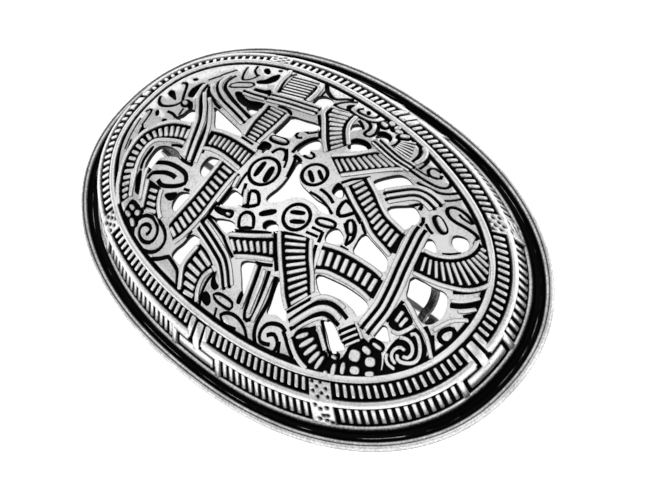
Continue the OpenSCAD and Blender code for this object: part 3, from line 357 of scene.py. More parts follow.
    (0.4, (-20.9, -3.75), (-20, -3.35), (-19.1, -3.2)),
    (0.6, (-21, -7), (-20.2, -6.6), (-19, -6.2), (-17.5, -6), (-16, -6), (-15, -6.2), (-14.3, -6.8),
     (-14.1, -7.2), (-14.8, -8), (-16, -8.7), (-17.5, -9.25), (-18.6, -9)),
    (0.6, (-20.6, -9.5), (-20.5, -8.6), (-19.5, -8), (-18.3, -7.5), (-17, -7.3), (-16.3, -7.35)),
    (0.3, (-13.5, -7.95), (-12.7, -7.75)),
    (0.52, (-14.9, -15.7), (-14.6, -15), (-15.2, -14.6), (-16, -14.7), (-16.6, -15.3), (-16.4, -16.1),
     (-15.6, -16.6), (-14.6, -16.7), (-13.6, -16.3), (-13.2, -15.5), (-13.4, -14.6), (-14.2, -13.9),
     (-15.3, -13.5), (-16.4, -13.6), (-17.3, -14.1), (-17.8, -15), (-17.7, -16), (-17, -17),
     (-15.8, -17.6), (-14.3, -17.7), (-12.9, -17.4), (-11.8, -16.7), (-11.3, -15.6), (-11.6, -14.6),
     (-12.7, -13.8), (-14, -13.4), (-15.4, -12.9)),
    (0.45, (-30.5, 1.7), (-30, 1), (-29, 0.6), (-28, 0.8), (-27, 1.3), (-26.4, 1.9), (-26.1, 2.7),
     (-26.7, 3.4), (-27.4, 4.3), (-28, 5.1), (-28.7, 5.6), (-29.3, 5.3)),
    (0.38, (-26.7, 0.25), (-25.5, 0.3), (-24.5, 0.05)),
    (0.32, (-24.7, 1.7), (-24.4, 0.7)),
    (0.35, (-30.4, -1.3), (-29.9, -0.65), (-29.4, -1.2), (-29.15, -2.2), (-28.95, -3.4)),
    (0.26, (-30.2, -2.8), (-29.8, -4.3), (-29.2, -6), (-28.4, -7.6)),
    (0.35, (-28.6, -6.2), (-28.1, -7.1), (-27.7, -7.9)),
    (0.5, (-30.9, -4.2), (-30.3, -6), (-29.3, -8), (-28, -9.7), (-26.8, -11), (-25.6, -12.2),
     (-24.2, -13.5)),
    (0.4, (-25.9, 7.9), (-25.5, 8.6), (-25.1, 9.2), (-24.9, 10), (-24.5, 10.8), (-24.1, 11.6)),
]
# Closed engraved lines, same columns.
LOOPS = [
    (0.48, (7.85, 4.2), (7.85, 3.2), (8.2, 2.3), (8.8, 1.9), (9.4, 2.4), (9.9, 3.3), (10, 3.8), (9, 4.2)),
    (0.45, (-4.1, -2.8), (-3.5, -2.5), (-2.8, -2.6), (-1.8, -3.5), (-1.9, -4), (-2.9, -4.8), (-3.4, -4.1),
     (-4, -3.3)),
    (0.42, (-2.8, -6.4), (-2.5, -5.6), (-1.7, -5.3), (-1, -5.5), (-0.3, -6.2), (0, -6.8), (-0.8, -7.2),
     (-1.7, -7.8), (-2.4, -7.2)),
    (0.38, (0.5, -16.7), (1.2, -16.2), (2.2, -16), (3.6, -16), (4.1, -16.3), (4.1, -16.8), (3.4, -17.05),
     (1.4, -17.1)),
    (0.32, (-21.9, 8.6), (-22, 9.2), (-21.4, 9.9), (-20.2, 10.7), (-19.5, 11.1), (-18.9, 10.9),
     (-19.1, 10.2), (-20.1, 9.5), (-21.3, 8.7)),
    (0.6, (30.3, -2), (31.1, -2.2), (31.8, -1.6), (31.8, -0.8), (31.3, 0), (30.7, 0), (30.2, -0.8),
     (30.1, -1.6)),
]
# Round eyes. Columns: x, y, radius and width of the groove round the eye.
EYES = [(-4.83, 0.55, 2.25, 0.42), (1.4, 4.5, 1.80, 0.42), (4.25, -1.9, 1.95, 0.42)]
# Short cut slots. Columns: x, y, half length, half width, angle.
SLOTS = [
    (-5.65, 0.45, 1.35, 0.4, 99), (-3.9, 0.55, 1.35, 0.48, 106), (2.1, 5.05, 0.95, 0.24, -27),
    (1.25, 4.05, 1.1, 0.3, -30), (3.95, -1.35, 1.1, 0.3, 30), (4.85, -2.4, 1.1, 0.3, 33),
    (0.35, -3.9, 1.3, 0.42, 44), (-28.4, -0.75, 0.6, 0.28, -35), (-26, -1.2, 0.45, 0.24, 10),
    (-28.1, 6.9, 0.42, 0.22, 20), (-18.8, 15.7, 0.3, 0.22, 20), (-2.6, 18.1, 0.45, 0.25, -40),
]
# Black areas cut down to the ground: points of the outline.
POOLS = [
    ((-8.7, 4.2), (-7.3, 4.3), (-7.1, 3.3), (-8, 2.9), (-8.6, 2.7), (-8.8, 3.4)),
    ((5, 5.7), (5.9, 5.6), (6.8, 5), (7.1, 4.3), (6.7, 4), (5.6, 4), (5.1, 4.6)),
    ((0.3, 12.3), (0.7, 13.3), (2, 13.8), (3.3, 13.4), (3.1, 12.7), (1.6, 12)),
    ((1.4, 16.3), (2, 17), (3.3, 17), (4, 16.1), (3.4, 15.8), (2, 15.7)),
    ((-5.15, 17.8), (-5.7, 17.05), (-5.1, 16.4), (-4.6, 16.4), (-4.95, 17)),
    ((24, -2.1), (25.3, -2.3), (26.6, -2.9), (26.4, -4), (25.9, -5), (25.2, -5.3), (24.2, -4.9)),
    ((27.3, -3.3), (28.2, -3.3), (29.3, -3.8), (30.4, -4.6), (30.9, -5.6), (30.9, -6.6), (30.3, -7.8),
     (29.5, -9), (28.7, -9.9), (27.9, -10.6), (27.6, -10.5), (27.1, -9.6), (26.65, -8.8), (26.45, -7.5),
     (26.5, -6.3), (26.8, -5.2), (27.05, -4.2)),
    ((-7, -7.4), (-6, -7.2), (-5.2, -6.9), (-4.4, -6.6), (-3.9, -7), (-4, -7.6), (-5, -7.8), (-6, -8),
     (-7, -7.9)),
    ((0.9, -5.4), (1.4, -4.6), (2.4, -4.3), (2.3, -4.7), (1.8, -5.4), (1.5, -6)),
    ((4.2, -14.4), (4.9, -14.3), (5, -15.6), (4.4, -15.8)),
    ((-1, -14.3), (-0.7, -15), (-0.1, -15.5), (0.6, -15.7), (0.3, -16.3), (-0.5, -16.2), (-1, -15.4)),
    ((-0.9, -17.2), (0, -17.3), (0.6, -17.9), (0.4, -18.5), (-0.6, -18.4), (-1.2, -18)),
    ((13.7, -17.5), (15.9, -16.8), (16.4, -17), (13.6, -17.8)),
    ((22.5, -9.3), (23.1, -8.9), (24.6, -9), (26, -8.9), (27.3, -10.8), (27.1, -11.8), (25.4, -13.2),
     (24, -14.2), (22.4, -13.6), (22.1, -11.6)),
    ((22.4, -12.9), (23.9, -13.6), (22.4, -15), (20.7, -15.9), (19, -16), (18.4, -13.2), (20, -13.8),
     (21.5, -13.3)),
    ((19.1, -16), (17, -15.6), (15, -14.8), (15.2, -13.6), (16.3, -12.3), (17.4, -12.4), (18.8, -13.4)),
    ((-18.1, 15), (-17.3, 13.9), (-17.6, 12.6), (-18.3, 12), (-19, 11.6), (-19.4, 12), (-18.7, 12.9),
     (-18.6, 14)),
    ((-16.3, 11.7), (-15.9, 11.6), (-15.2, 10.9), (-16.5, 10.4), (-17.9, 10.1), (-18.3, 10.6),
     (-17.5, 10.9), (-16.7, 11.2)),
    ((-20.1, 8.4), (-19.3, 8.8), (-18.5, 8.5), (-17, 8.3), (-15.8, 8.8), (-14.6, 9.2), (-14, 9.1),
     (-14.2, 8.2), (-15.2, 7.5), (-16.3, 7.2), (-17.8, 7.3), (-19.2, 7.8)),
    ((-20.6, 14.9), (-19.7, 14.5), (-19.5, 14), (-20.3, 14), (-20.9, 14.4)),
    ((-16, -10.2), (-15.2, -9.5), (-14.3, -9.1), (-14.2, -10.1), (-14.9, -10.5)),
    ((-22.9, -9.2), (-22.3, -9.6), (-21.4, -10.8), (-20.5, -11.7), (-20.3, -12.1), (-21.2, -12.1),
     (-22, -11.3), (-22.8, -10.2)),
    ((-24.1, -5.7), (-23.8, -5.4), (-23.55, -6.4), (-23.5, -7.8), (-22.9, -9), (-23.5, -8.7), (-24, -7.2)),
    ((-20.9, -13.2), (-18.3, -13.6), (-17.7, -14.2), (-18.1, -15), (-17.6, -16.5), (-17.2, -17),
     (-18.6, -16.6), (-20.2, -15.8), (-21, -15.2)),
    ((-30, 3.4), (-29.4, 3.5), (-28.7, 3.2), (-27.5, 2.4), (-28.5, 2.5), (-29.4, 2.6), (-30, 2.9)),
    ((-24.7, 3.4), (-23.5, 2.6), (-23.8, 2.2), (-24.7, 2.6)),
    ((-28.9, -3.4), (-28.2, -3.8), (-27.3, -3.4), (-27.6, -4.2), (-28.1, -5), (-28.6, -4.3)),
    ((-26.4, 6.9), (-25.9, 7), (-25.8, 6), (-25.5, 4.8), (-25.3, 4.1), (-26.3, 4), (-26.9, 5.2),
     (-26.7, 6.2)),
]
# Small raised pads in beds of their own. Columns: x, y, half length, half width, angle.
PADS = [
    (-7.1, 5.65, 1.25, 0.3, 15), (8.2, -0.05, 1.2, 0.33, 22), (-4.6, -7.2, 0.35, 0.2, 15),
    (19.5, 10.4, 1.3, 0.38, -22), (1.25, 18.65, 0.45, 0.33, 0), (0.8, 17.75, 0.6, 0.28, 0),
    (2.45, 18.6, 0.28, 0.45, -30), (4.4, 18.15, 0.65, 0.26, 40), (15.6, -13.6, 0.95, 0.33, 51),
    (16.65, -13.9, 1.2, 0.35, 61), (17.65, -14.3, 1.15, 0.34, 68), (18.65, -14.7, 1.05, 0.34, 75),
    (19.65, -14.8, 1, 0.32, 86), (23.2, -11.2, 0.82, 0.78, 20), (24.1, -9.7, 0.7, 0.45, 0),
    (25.4, -10.5, 0.75, 0.65, 35), (24.3, -12.6, 0.7, 0.52, 30), (26.2, -11.7, 0.65, 0.34, 40),
    (21.1, -15.3, 0.32, 0.3, 0), (22.8, -13.4, 0.35, 0.75, 25), (21.8, -14.3, 0.35, 0.75, 20),
    (21, -13.1, 0.42, 0.24, 10), (24.9, -8.4, 0.75, 0.3, 5), (11.3, 1.6, 0.9, 0.32, -45),
    (-19.9, -13.9, 0.52, 0.3, -15), (-18.45, -14.1, 0.42, 0.4, 0), (-20, -14.9, 0.58, 0.3, -15),
    (-18.4, -15.5, 0.65, 0.3, -35), (-25.3, 2.7, 0.45, 0.32, 0),
]
# Fans of fine hatching. Columns: ends of the first line, ends of the last line, lines.
FANS = [
    ((5.2, 15.5), (8.4, 15.7), (4.8, 17.2), (6.3, 18.5), 6),
    ((-14.6, 12.0), (-10.8, 13.4), (-16.3, 16.0), (-12.4, 17.5), 8),
]
# Gaps cut through: points of the outline.
GAPS = [
    ((-1.9, 14.6), (-1.5, 15.3), (-0.8, 15.1), (-0.7, 14.5), (-1.3, 13.9)),
    ((0.6, 12), (1.2, 12.7), (2.1, 13), (3, 12.8), (3.1, 12.4), (2.1, 11.2), (1.2, 11.1)),
    ((2, 15.9), (2.6, 16.3), (3.4, 16.2), (3.9, 15.7), (3.6, 15.3), (2.2, 15.3)),
    ((-9.6, 9.6), (-7.4, 10.6), (-5.3, 11.3), (-4.6, 10.4), (-5.7, 9.2), (-6.4, 8.2), (-6.3, 7),
     (-8.2, 6.2), (-9.1, 6.6)),
    ((-3.9, 7), (-3.7, 8.5), (-3.1, 9.2), (-2.1, 9), (-1.6, 8), (-2.4, 7.3), (-1.9, 6.6), (-2.6, 6.1),
     (-3.6, 6)),
    ((-2.1, 4.7), (-1.3, 4.6), (-0.3, 3.1), (1, 2.2), (2.6, 1.9), (4.5, 1.7), (6.3, 1.8), (7.5, 1.2),
     (6.2, 0.8), (4.6, 1.1), (2.8, 0.8), (1.6, 0), (0.8, -1.3), (-0.7, -2.6), (-1.4, -2.1), (-1.1, -0.2),
     (-1.2, 1.6), (-1.7, 3.4)),
    ((5.5, 4.9), (5.8, 5.2), (6.4, 4.9), (6.7, 4.4), (6.2, 4.1), (5.7, 4.2)),
    ((-7.75, 3.5), (-7.45, 3.55), (-7.2, 3), (-7.35, 2.7), (-7.65, 2.9)),
    ((8.3, 9.2), (9.7, 8.7), (12.2, 12), (12, 12.7), (10.4, 12.8), (9.4, 12)),
    ((12.9, 7.3), (14.2, 9.2), (15, 9.9), (16.4, 9.6), (17.2, 8.6), (17, 7), (16.6, 6.3), (15, 6.5)),
    ((22, 10.4), (22.5, 11), (23.4, 11.3), (24.2, 10.9), (24.6, 10.2), (24.3, 9.4), (23.8, 9.1), (23, 9.2),
     (22.4, 9.6)),
    ((19.9, 6.9), (20.3, 7.7), (21.2, 7.6), (22.1, 6.9), (21.6, 6.4), (20.6, 6.2)),
    ((22.6, 1.9), (25.4, 2.6), (27, 3.1), (28, 2.5), (28.8, 1), (28.9, 0), (28.5, -1.4), (27.4, -2),
     (25.4, -1.2), (23.9, -0.8), (23.2, 0.2)),
    ((13.4, 2.1), (15, 2), (17.6, 1.6), (18.6, 1.1), (19.1, -0.2), (17, -0.5), (14.3, -0.8), (13.6, 0.4)),
    ((9.4, -0.9), (9.6, 0), (10.4, 0.3), (11.5, -0.1), (11.9, -0.9), (11.2, -1.6), (10, -2)),
    ((12.4, -6.4), (14.4, -5.7), (17.2, -5.1), (20.2, -5), (20.8, -6), (20.3, -7.1), (19, -6.8),
     (17, -6.9), (15.6, -7.6), (14.4, -8), (13.2, -7.4)),
    ((23.7, -6.2), (24.4, -5.8), (25.2, -6.4), (25.7, -6.9), (25, -7.5), (24, -7.7), (23.8, -7.2)),
    ((16.9, -10.4), (17.8, -10), (18.8, -10.2), (20.3, -11), (21.5, -11.5), (21, -12.2), (20.2, -12.8),
     (18.4, -11.5)),
    ((8.1, -10.1), (8.7, -10.3), (10.4, -11.9), (11.9, -13), (12.2, -13.8), (10.6, -13.9), (9.4, -14.4),
     (9, -13)),
    ((1.9, -11.2), (3.4, -10.4), (4.1, -10.6), (4.6, -12), (4.8, -14), (4.3, -14.2), (3.2, -13),
     (2.2, -12)),
    ((1.5, -5.3), (2.1, -4.6), (2.9, -4.5), (3.3, -5), (2.6, -5.65), (1.8, -5.85)),
    ((-6.6, -4.3), (-5, -4.2), (-4.3, -4.7), (-4.2, -5.3), (-5, -6.1), (-6.4, -6.7), (-6.8, -6.6),
     (-6.7, -5.5)),
    ((-5.9, -8.9), (-4.2, -8.1), (-2.9, -7.9), (-2.4, -8.5), (-3.1, -9.4), (-4, -9.5), (-5.2, -9.2)),
    ((-10, 15.5), (-9.2, 16.2), (-7.6, 16.1), (-7.2, 15), (-7.6, 13.9), (-9, 13.7), (-9.7, 14.4)),
    ((-20.3, 4.4), (-19, 4.3), (-17, 4), (-15, 3.7), (-13.2, 3.4), (-12.7, 2.9), (-15, 2.4), (-16.8, 1.9),
     (-17.6, 2.2), (-18.5, 3), (-19.5, 3.9)),
    ((-16, 7.2), (-15, 7.6), (-14.3, 8), (-14.1, 7), (-14.8, 6.75)),
    ((-23.8, 2.1), (-22.7, 2.3), (-21.3, 1.4), (-21.4, 0.8), (-23, 0.2), (-24.5, 0), (-24, 1)),
    ((-13.9, -2.5), (-13.3, -2.1), (-12.2, -1.9), (-11.8, -2.5), (-11.8, -4.7), (-12.8, -5), (-13.5, -4.5),
     (-13.9, -3.8)),
    ((-14, -9), (-13.2, -8.4), (-12.3, -8.3), (-12.1, -9.6), (-12.2, -10.7), (-12.9, -11.2), (-13.5, -11),
     (-14, -10.2)),
    ((-23.1, -5.4), (-22.3, -4.6), (-20.8, -4.2), (-19.3, -4.2), (-18.4, -4.6), (-19.4, -5.1),
     (-20.5, -5.6), (-21.2, -6.2), (-21.4, -7), (-21.4, -8), (-21.2, -8.9), (-21.8, -9.1), (-22.7, -8.2),
     (-23.1, -6.9)),
    ((-7.9, -12.6), (-7, -12.3), (-6.3, -12.4), (-6.2, -13.4), (-6.6, -15), (-6.8, -16), (-7.2, -16.5),
     (-8.2, -16.4), (-9, -16.1), (-8.9, -15.2), (-8.3, -14)),
]
# Pits of a dotted panel, in the rings' own plan from the panel's middle line. Columns: s, v.
PITS = [
    (-1.2, 6.5), (0.1, 6.6), (-0.5, 5.9), (0.9, 5.8), (-1.1, 5.2), (0.2, 5.1), (1.1, 4.7), (-0.4, 4.5),
    (-0.9, 3.4), (0.8, 3.2), (-0.2, 2.8), (0.7, 1.7), (0.1, 1.6), (-0.5, 0.9), (0.5, 0.8), (1.2, 0.5),
]
PIT_RADIUS = 0.25


def signed_power(value, power):
    return np.sign(value) * np.abs(value) ** power


def share(x, y):
    """How far out a plan point lies: 0 at the crest, 1 on the openwork's edge."""
    return (np.abs(x / FIELD_LENGTH) ** POWER + np.abs(y / FIELD_WIDTH) ** POWER) ** (1 / POWER)


def ground(x, y):
    """Height of the smooth dome, from which the relief is measured."""
    return FIELD_FOOT + CROWN_RISE * (1 - share(x, y) ** 2)


def unit(vectors):
    return vectors / np.linalg.norm(vectors, axis=-1, keepdims=True)


def cross(one, other):
    """Positive where the other plan vector points to the left of the one."""
    return one[..., 0] * other[..., 1] - one[..., 1] * other[..., 0]


def place_on_dome(plan, height):
    """Bends plan points (x, y) over the dome and raises them along its normal."""
    x, y = plan[..., 0], plan[..., 1]
    step = 0.05
    slope_x = (ground(x + step, y) - ground(x - step, y)) / (2 * step)
    slope_y = (ground(x, y + step) - ground(x, y - step)) / (2 * step)
    normal = unit(np.stack([-slope_x, -slope_y, np.ones_like(x)], -1))
    return np.stack([x, y, ground(x, y)], -1) + normal * height[..., None]


def oval(inset_x, inset_y, turn, power=POWER):
    x = (HALF_LENGTH - inset_x) * signed_power(np.cos(turn), 2 / power)
    y = (HALF_WIDTH - inset_y) * signed_power(np.sin(turn), 2 / power)
    return x, y


def turn_of(x, y, inset_x, inset_y, power=POWER):
    """Turn of the oval's point on the ray from the centre through the plan point (x, y)."""
    up = signed_power(y / (HALF_WIDTH - inset_y), power / 2)
    return np.arctan2(up, signed_power(x / (HALF_LENGTH - inset_x), power / 2))


def inner_oval(inset, turn):
    """The openwork's oval edge, a distance in from the middle of its rail."""
    for middle, spread, size in STRAYS:
        apart = np.remainder(turn - middle + np.pi, 2 * np.pi) - np.pi
        inset = inset - size * np.exp(-(apart / spread) ** 2)
    return oval(INNER_RAIL[0] + inset, INNER_RAIL[1] + inset, turn, INNER_POWER)


def steps_along(points):
    """Distance of each point from the first, along the line."""
    lengths = np.linalg.norm(np.diff(points, axis=0), axis=1)
    return np.concatenate([[0.0], np.cumsum(lengths)])


def length_of(path):
    return steps_along(path)[-1]


# The rings are drawn in their own plan: s runs round the middle rail and v runs up the floor of the rings.
# The turns go round twice, so that s may pass the seam.
RING_STATIONS = 1440
TURNS = np.linspace(-np.pi, 3 * np.pi, 2 * RING_STATIONS + 1)
RING_MIDDLE = RING_FLOOR[1][:2]
RING_STEPS = steps_along(np.stack(oval(*RING_MIDDLE, TURNS), -1))
RING_LENGTH = RING_STEPS[RING_STATIONS]
FLOOR_ROWS = np.array(RING_FLOOR)
FLOOR_STEPS = steps_along(FLOOR_ROWS[:, [0, 2]])
_, V_MIDDLE, V_TOP = FLOOR_STEPS
# The two ladders. Columns: foot and top of a rung, room left at a stem, a rung's width and height.
LADDERS = [(0.45, V_MIDDLE - 0.80, 4.95, 0.64, 0.40), (V_MIDDLE + 0.78, V_TOP + 0.05, 2.25, 0.58, 0.56)]
LADDER_PITCH = 1.13
PANEL_ROOM = 2.05
# Frame beside a stem. Columns: distance from the stem and v of one end, the same of the other end, width.
STEM_FRAME = [
    (1.55, V_MIDDLE - 0.5, 1.55, V_TOP + 0.05, 0.9),
    (4.35, 0.0, 4.35, V_MIDDLE + 0.2, 0.9),
    (1.30, V_MIDDLE - 0.5, 4.50, V_MIDDLE - 0.5, 1.0),
]


def ring_floor(s, v):
    inset_x, inset_y, z = [np.interp(v, FLOOR_STEPS, column) for column in FLOOR_ROWS.T]
    x, y = oval(inset_x, inset_y, np.interp(s % RING_LENGTH, RING_STEPS, TURNS))
    return np.stack([x, y, z], -1)


def place_on_rings(plan, height):
    """The same as place_on_dome() for points (s, v) of the ladder rings."""
    s, v = plan[..., 0], plan[..., 1]
    step = 0.25
    along = ring_floor(s + step, v) - ring_floor(s - step, v)
    inside = np.clip(v, step, V_TOP - step)
    up = ring_floor(s, inside + step) - ring_floor(s, inside - step)
    return ring_floor(s, v) + unit(np.cross(along, up)) * height[..., None]


class Pile:
    """Closed pieces of metal that share one mesh, with a polish value at each point that in places paints
    shade and highlights.
    """

    def __init__(self):
        self.points, self.polish, self.faces, self.count = [], [], [], 0

    def add(self, points, polish, faces):
        self.points.append(points.reshape(-1, 3))
        self.polish.append(np.broadcast_to(polish, points.shape[:-1]).reshape(-1))
        self.faces += [[self.count + k for k in face] for face in faces]
        self.count += len(self.points[-1])

    def build(self, name):
        mesh = bpy.data.meshes.new(name)
        mesh.from_pydata((np.concatenate(self.points) * MM).tolist(), [], self.faces)
        polish = mesh.attributes.new("polish", "FLOAT", "POINT")
        polish.data.foreach_set("value", np.concatenate(self.polish).astype(np.float32))
        mesh.validate()
        mesh.update()
        piece = bpy.data.objects.new(name, mesh)
        bpy.context.scene.collection.objects.link(piece)
        return piece


def polish_at(height):
    """Relief is black up to a share of its height and brightens towards its crest."""
    black, fade = 0.48, 0.40
    t = np.clip((height / np.max(height) - black) / fade, 0, 1)
    return t * t * (3 - 2 * t)


def rounded(width, height, boxy=0.6, steps=6):
    """Cross-section of a ridge: (offset, height) pairs from one buried foot over the crest to the other."""
    angles = np.linspace(np.pi, 0, steps + 1)
    offsets = width / 2 * signed_power(np.cos(angles), boxy)
    heights = height * np.abs(np.sin(angles)) ** boxy
    return np.vstack([(-width / 2, -SINK), np.column_stack([offsets, heights]), (width / 2, -SINK)])


def bed_section(half):
    """Cross-section of a cutter for a bed of that half width."""
    side = [(half + grow, height) for grow, height in BED_WALL]
    return np.array([(-offset, height) for offset, height in side[::-1]] + side)


def curve(points, closed=False, pieces=8):
    """Smooth curve through the points."""
    p = np.array(points, float)
    if len(p) < 3:
        return p
    if closed:
        p = np.vstack([p[-1:], p, p[:2]])
    else:
        p = np.vstack([2 * p[0] - p[1], p, 2 * p[-1] - p[-2]])
    t = np.arange(pieces)[:, None] / pieces
    out = [
        0.5 * (2 * b + (c - a) * t + (2 * a - 5 * b + 4 * c - d) * t**2 + (3 * b - a - 3 * c + d) * t**3)
        for a, b, c, d in zip(p, p[1:], p[2:], p[3:])
    ]
    return np.vstack(out if closed else [*out, p[-2]])


def at_steps(path, steps):
    lengths = steps_along(path)
    return np.stack([np.interp(steps, lengths, values) for values in path.T], -1)


def even(path, count):
    """The same path, drawn with evenly spaced points."""
    return at_steps(path, np.linspace(0, length_of(path), count))


def left_of(path, closed=False):
    """Unit directions to the left of a path at each of its points."""
    tangent = np.roll(path, -1, 0) - np.roll(path, 1, 0) if closed else np.gradient(path, axis=0)
    return unit(tangent)[:, ::-1] * (-1, 1)


def tube_faces(rows, size, closed=False):
    """Faces of a tube with that many rows, each a cross-section of that many points."""
    faces = []
    for i in range(rows if closed else rows - 1):
        a, b = i * size, (i + 1) % rows * size
        faces += [[a + k, a + (k + 1) % size, b + (k + 1) % size, b + k] for k in range(size)]
    if not closed:
        faces += [list(range(size - 1, -1, -1)), [(rows - 1) * size + k for k in range(size)]]
    return faces


def sweep(pile, path, section, place=place_on_dome, closed=False, spacing=0.48, tip=0.3):
    """Draws a cross-section along a plan path. Open ends are rounded over a length of tip."""
    if closed:
        path = np.vstack([path, path[:1]])
    length = length_of(path)
    count = max(int(round(length / spacing)), 2)
    if closed:
        steps = np.arange(count) * length / count
        swell = np.ones(count)
    else:
        tip = min(tip, length / 3)
        shares, swells = np.transpose(TIP_SWELL)
        near = tip * shares[:-1]
        steps = np.concatenate([near, np.linspace(tip, length - tip, count), length - near[::-1]])
        swell = np.interp(np.minimum(steps, length - steps), tip * shares, swells)
    stations = at_steps(path, steps)
    offsets, heights = section.T
    plan = stations[:, None] + left_of(stations, closed)[:, None] * np.outer(swell, offsets)[..., None]
    lifted = np.where(heights > 0, np.outer(swell, heights), heights)
    pile.add(place(plan, lifted), polish_at(lifted), tube_faces(*lifted.shape, closed))


def plate(pile, outline, height):
    """Raised plate with a rounded edge inside an anticlockwise outline."""
    edge = 0.16
    left = left_of(outline, closed=True)
    rows = [(0, -SINK), (0, height * 0.3), (edge * 0.35, height * 0.8), (edge, height)]
    plan = np.stack([outline + left * inset for inset, _ in rows])
    lifted = np.stack([np.full(len(outline), level) for _, level in rows])
    pile.add(place_on_dome(plan, lifted), polish_at(lifted), tube_faces(*lifted.shape))


def panel(pile, middle):
    """Dotted panel that stands over both rings, with rounded edges and round pits."""
    height, edge, spacing, pit_depth = 0.7, 0.18, 0.18, 0.45

    def ticks(low, high):
        """Places and levels of the points across the panel, where level -1 is the buried foot."""
        flat = np.linspace(low + edge, high - edge, max(int(round((high - low - 2 * edge) / spacing)), 1) + 1)
        bend = edge * 0.35
        places = np.concatenate([[low, low, low + bend], flat, [high - bend, high, high]])
        return places, np.concatenate([[-1, 0.3, 0.8], np.ones(len(flat)), [0.8, 0.3, -1]])

    us, u_levels = ticks(middle - 1.75, middle + 1.75)
    vs, v_levels = ticks(0.0, V_TOP + 0.2)
    level = np.minimum(u_levels, v_levels[:, None])
    lifted = np.where(level < 0, -SINK, level * height)
    plan = np.stack(np.meshgrid(us, vs), -1)
    polish = polish_at(lifted)
    for x, y in PITS:
        depth = np.exp(-np.sum((plan - (middle + x, y)) ** 2, -1) / PIT_RADIUS**2)
        lifted = np.where(level < 0, lifted, lifted - pit_depth * depth)
        polish = polish * (1 - np.minimum(1.3 * depth, 1))
    pile.add(place_on_rings(plan, lifted), polish, tube_faces(*lifted.shape))


def shell():
    """The dome's own wall: inner skin, resting edge, flange, channel, floor of the rings and plate."""
    count = 270
    turns = np.interp(np.arange(count) / count * RING_LENGTH, RING_STEPS, TURNS)
    shares = np.arange(1, 12) * 0.08

    def level(inset_x, inset_y, z, *_):
        return np.stack([*oval(inset_x, inset_y, turns), np.full(count, z)], -1)

    def on_ground(plan, height):
        return np.stack([*plan, ground(*plan) + height], -1)

    field = [oval(HALF_LENGTH - FIELD_LENGTH * q, HALF_WIDTH - FIELD_WIDTH * q, turns) for q in shares]
    inner = [on_ground(plan, -WALL) for plan in field] + [level(*row) for row in INNER_SKIN[::-1]]
    outer = [level(*row) for row in RIM + RING_FLOOR]
    outer += [on_ground(inner_oval(inset, turns), height) for inset, height, _ in FIELD_EDGE]
    outer += [on_ground(plan, PLATE) for plan in field[::-1]]
    inner_polish, field_polish = 0.55, 1.0
    # The rim's share of polish also puts painted shade on the flange: a darker outer side and a thin dark
    # line.
    polish = [inner_polish] * len(inner) + [row[3] for row in RIM] + [0.0] * len(RING_FLOOR)
    polish += [row[2] for row in FIELD_EDGE] + [field_polish] * len(field)
    polish = np.repeat(polish, count)
    # Painted highlights: the thin ridge in the channel is painted lighter in patches.
    highlight_start = (len(inner) + HIGHLIGHT_ROW) * count
    highlight_patches = np.sin(7 * turns) + np.sin(18 * turns + 1) + 0.8 * np.sin(41 * turns)
    polish[highlight_start:highlight_start + count] *= 1 + 4.5 * np.clip(highlight_patches, 0, 1)
    crest = FIELD_FOOT + CROWN_RISE
    points = np.concatenate([*inner, *outer, [(0, 0, crest - WALL), (0, 0, crest + PLATE)]])
    faces = tube_faces(len(inner + outer), count)[:-2]
    end = len(polish)
    for i in range(count):
        j = (i + 1) % count
        faces += [[j, i, end], [end - count + i, end - count + j, end + 1]]
    pile = Pile()
    pile.add(points, np.append(polish, [inner_polish, field_polish]), faces)
    return pile.build("shell")


class Cutters:
    """Closed bodies that are taken out of the plate, each an object of one collection."""

    def __init__(self):
        self.group = bpy.data.collections.new("cutters")
        bpy.context.scene.collection.children.link(self.group)

    def keep(self, pile):
        piece = pile.build("cutter")
        bpy.context.scene.collection.objects.unlink(piece)
        self.group.objects.link(piece)

    def keep_tube(self, rows):
        pile = Pile()
        pile.add(rows, 0.0, tube_faces(*rows.shape[:2]))
        self.keep(pile)

    def groove(self, path, half, closed=False):
        """Takes out a groove along a line, a little past both ends of an open one."""
        overshoot, tip = 0.16, 0.12
        if not closed:
            ends = unit(path[[0, -1]] - path[[1, -2]]) * overshoot
            path = np.vstack([path[0] + ends[0], path, path[-1] + ends[1]])
        pile = Pile()
        sweep(pile, path, bed_section(half), closed=closed, spacing=0.5, tip=tip)
        self.keep(pile)

    def strip(self, one, other):
        """Takes out the strip between two lines that run side by side with the same number of points."""
        across = unit(other - one)
        if np.sum(cross(np.gradient(one, axis=0), across)) < 0:
            one, other, across = other, one, -across
        near = [one - across * grow for grow, _ in BED_WALL[::-1]]
        far = [other + across * grow for grow, _ in BED_WALL]
        plan = np.stack([*near, (one + other) / 2, *far], 1)
        heights = [height for _, height in [*BED_WALL[::-1], BED_WALL[0], *BED_WALL]]
        self.keep_tube(place_on_dome(plan, np.broadcast_to(heights, plan.shape[:2])))

    def hole(self, outline, wall):
        """Takes out a closed outline, with a wall such as BED_WALL."""
        if np.sum(cross(outline, np.roll(outline, -1, 0))) < 0:
            outline = outline[::-1]
        left = left_of(outline, closed=True)
        rows = []
        for grow, height in wall:
            plan = outline - left * grow
            rows.append(np.column_stack([plan, ground(*plan.T) + height]))
        self.keep_tube(np.stack(rows))

    def cut(self, piece):
        """Takes the cutters out of the piece and removes them."""
        touching = 1e-7
        modifier = piece.modifiers.new("cut", "BOOLEAN")
        modifier.operation = "DIFFERENCE"
        modifier.solver = "MANIFOLD"
        modifier.operand_type = "COLLECTION"
        modifier.collection = self.group
        done = bpy.data.meshes.new_from_object(piece.evaluated_get(bpy.context.evaluated_depsgraph_get()))
        merged = bmesh.new()
        merged.from_mesh(done)
        bmesh.ops.dissolve_degenerate(merged, dist=touching, edges=merged.edges)
        merged.to_mesh(done)
        merged.free()
        piece.modifiers.clear()
        piece.data = done
        for cutter in list(self.group.objects):
            bpy.data.objects.remove(cutter)
        bpy.data.collections.remove(self.group)


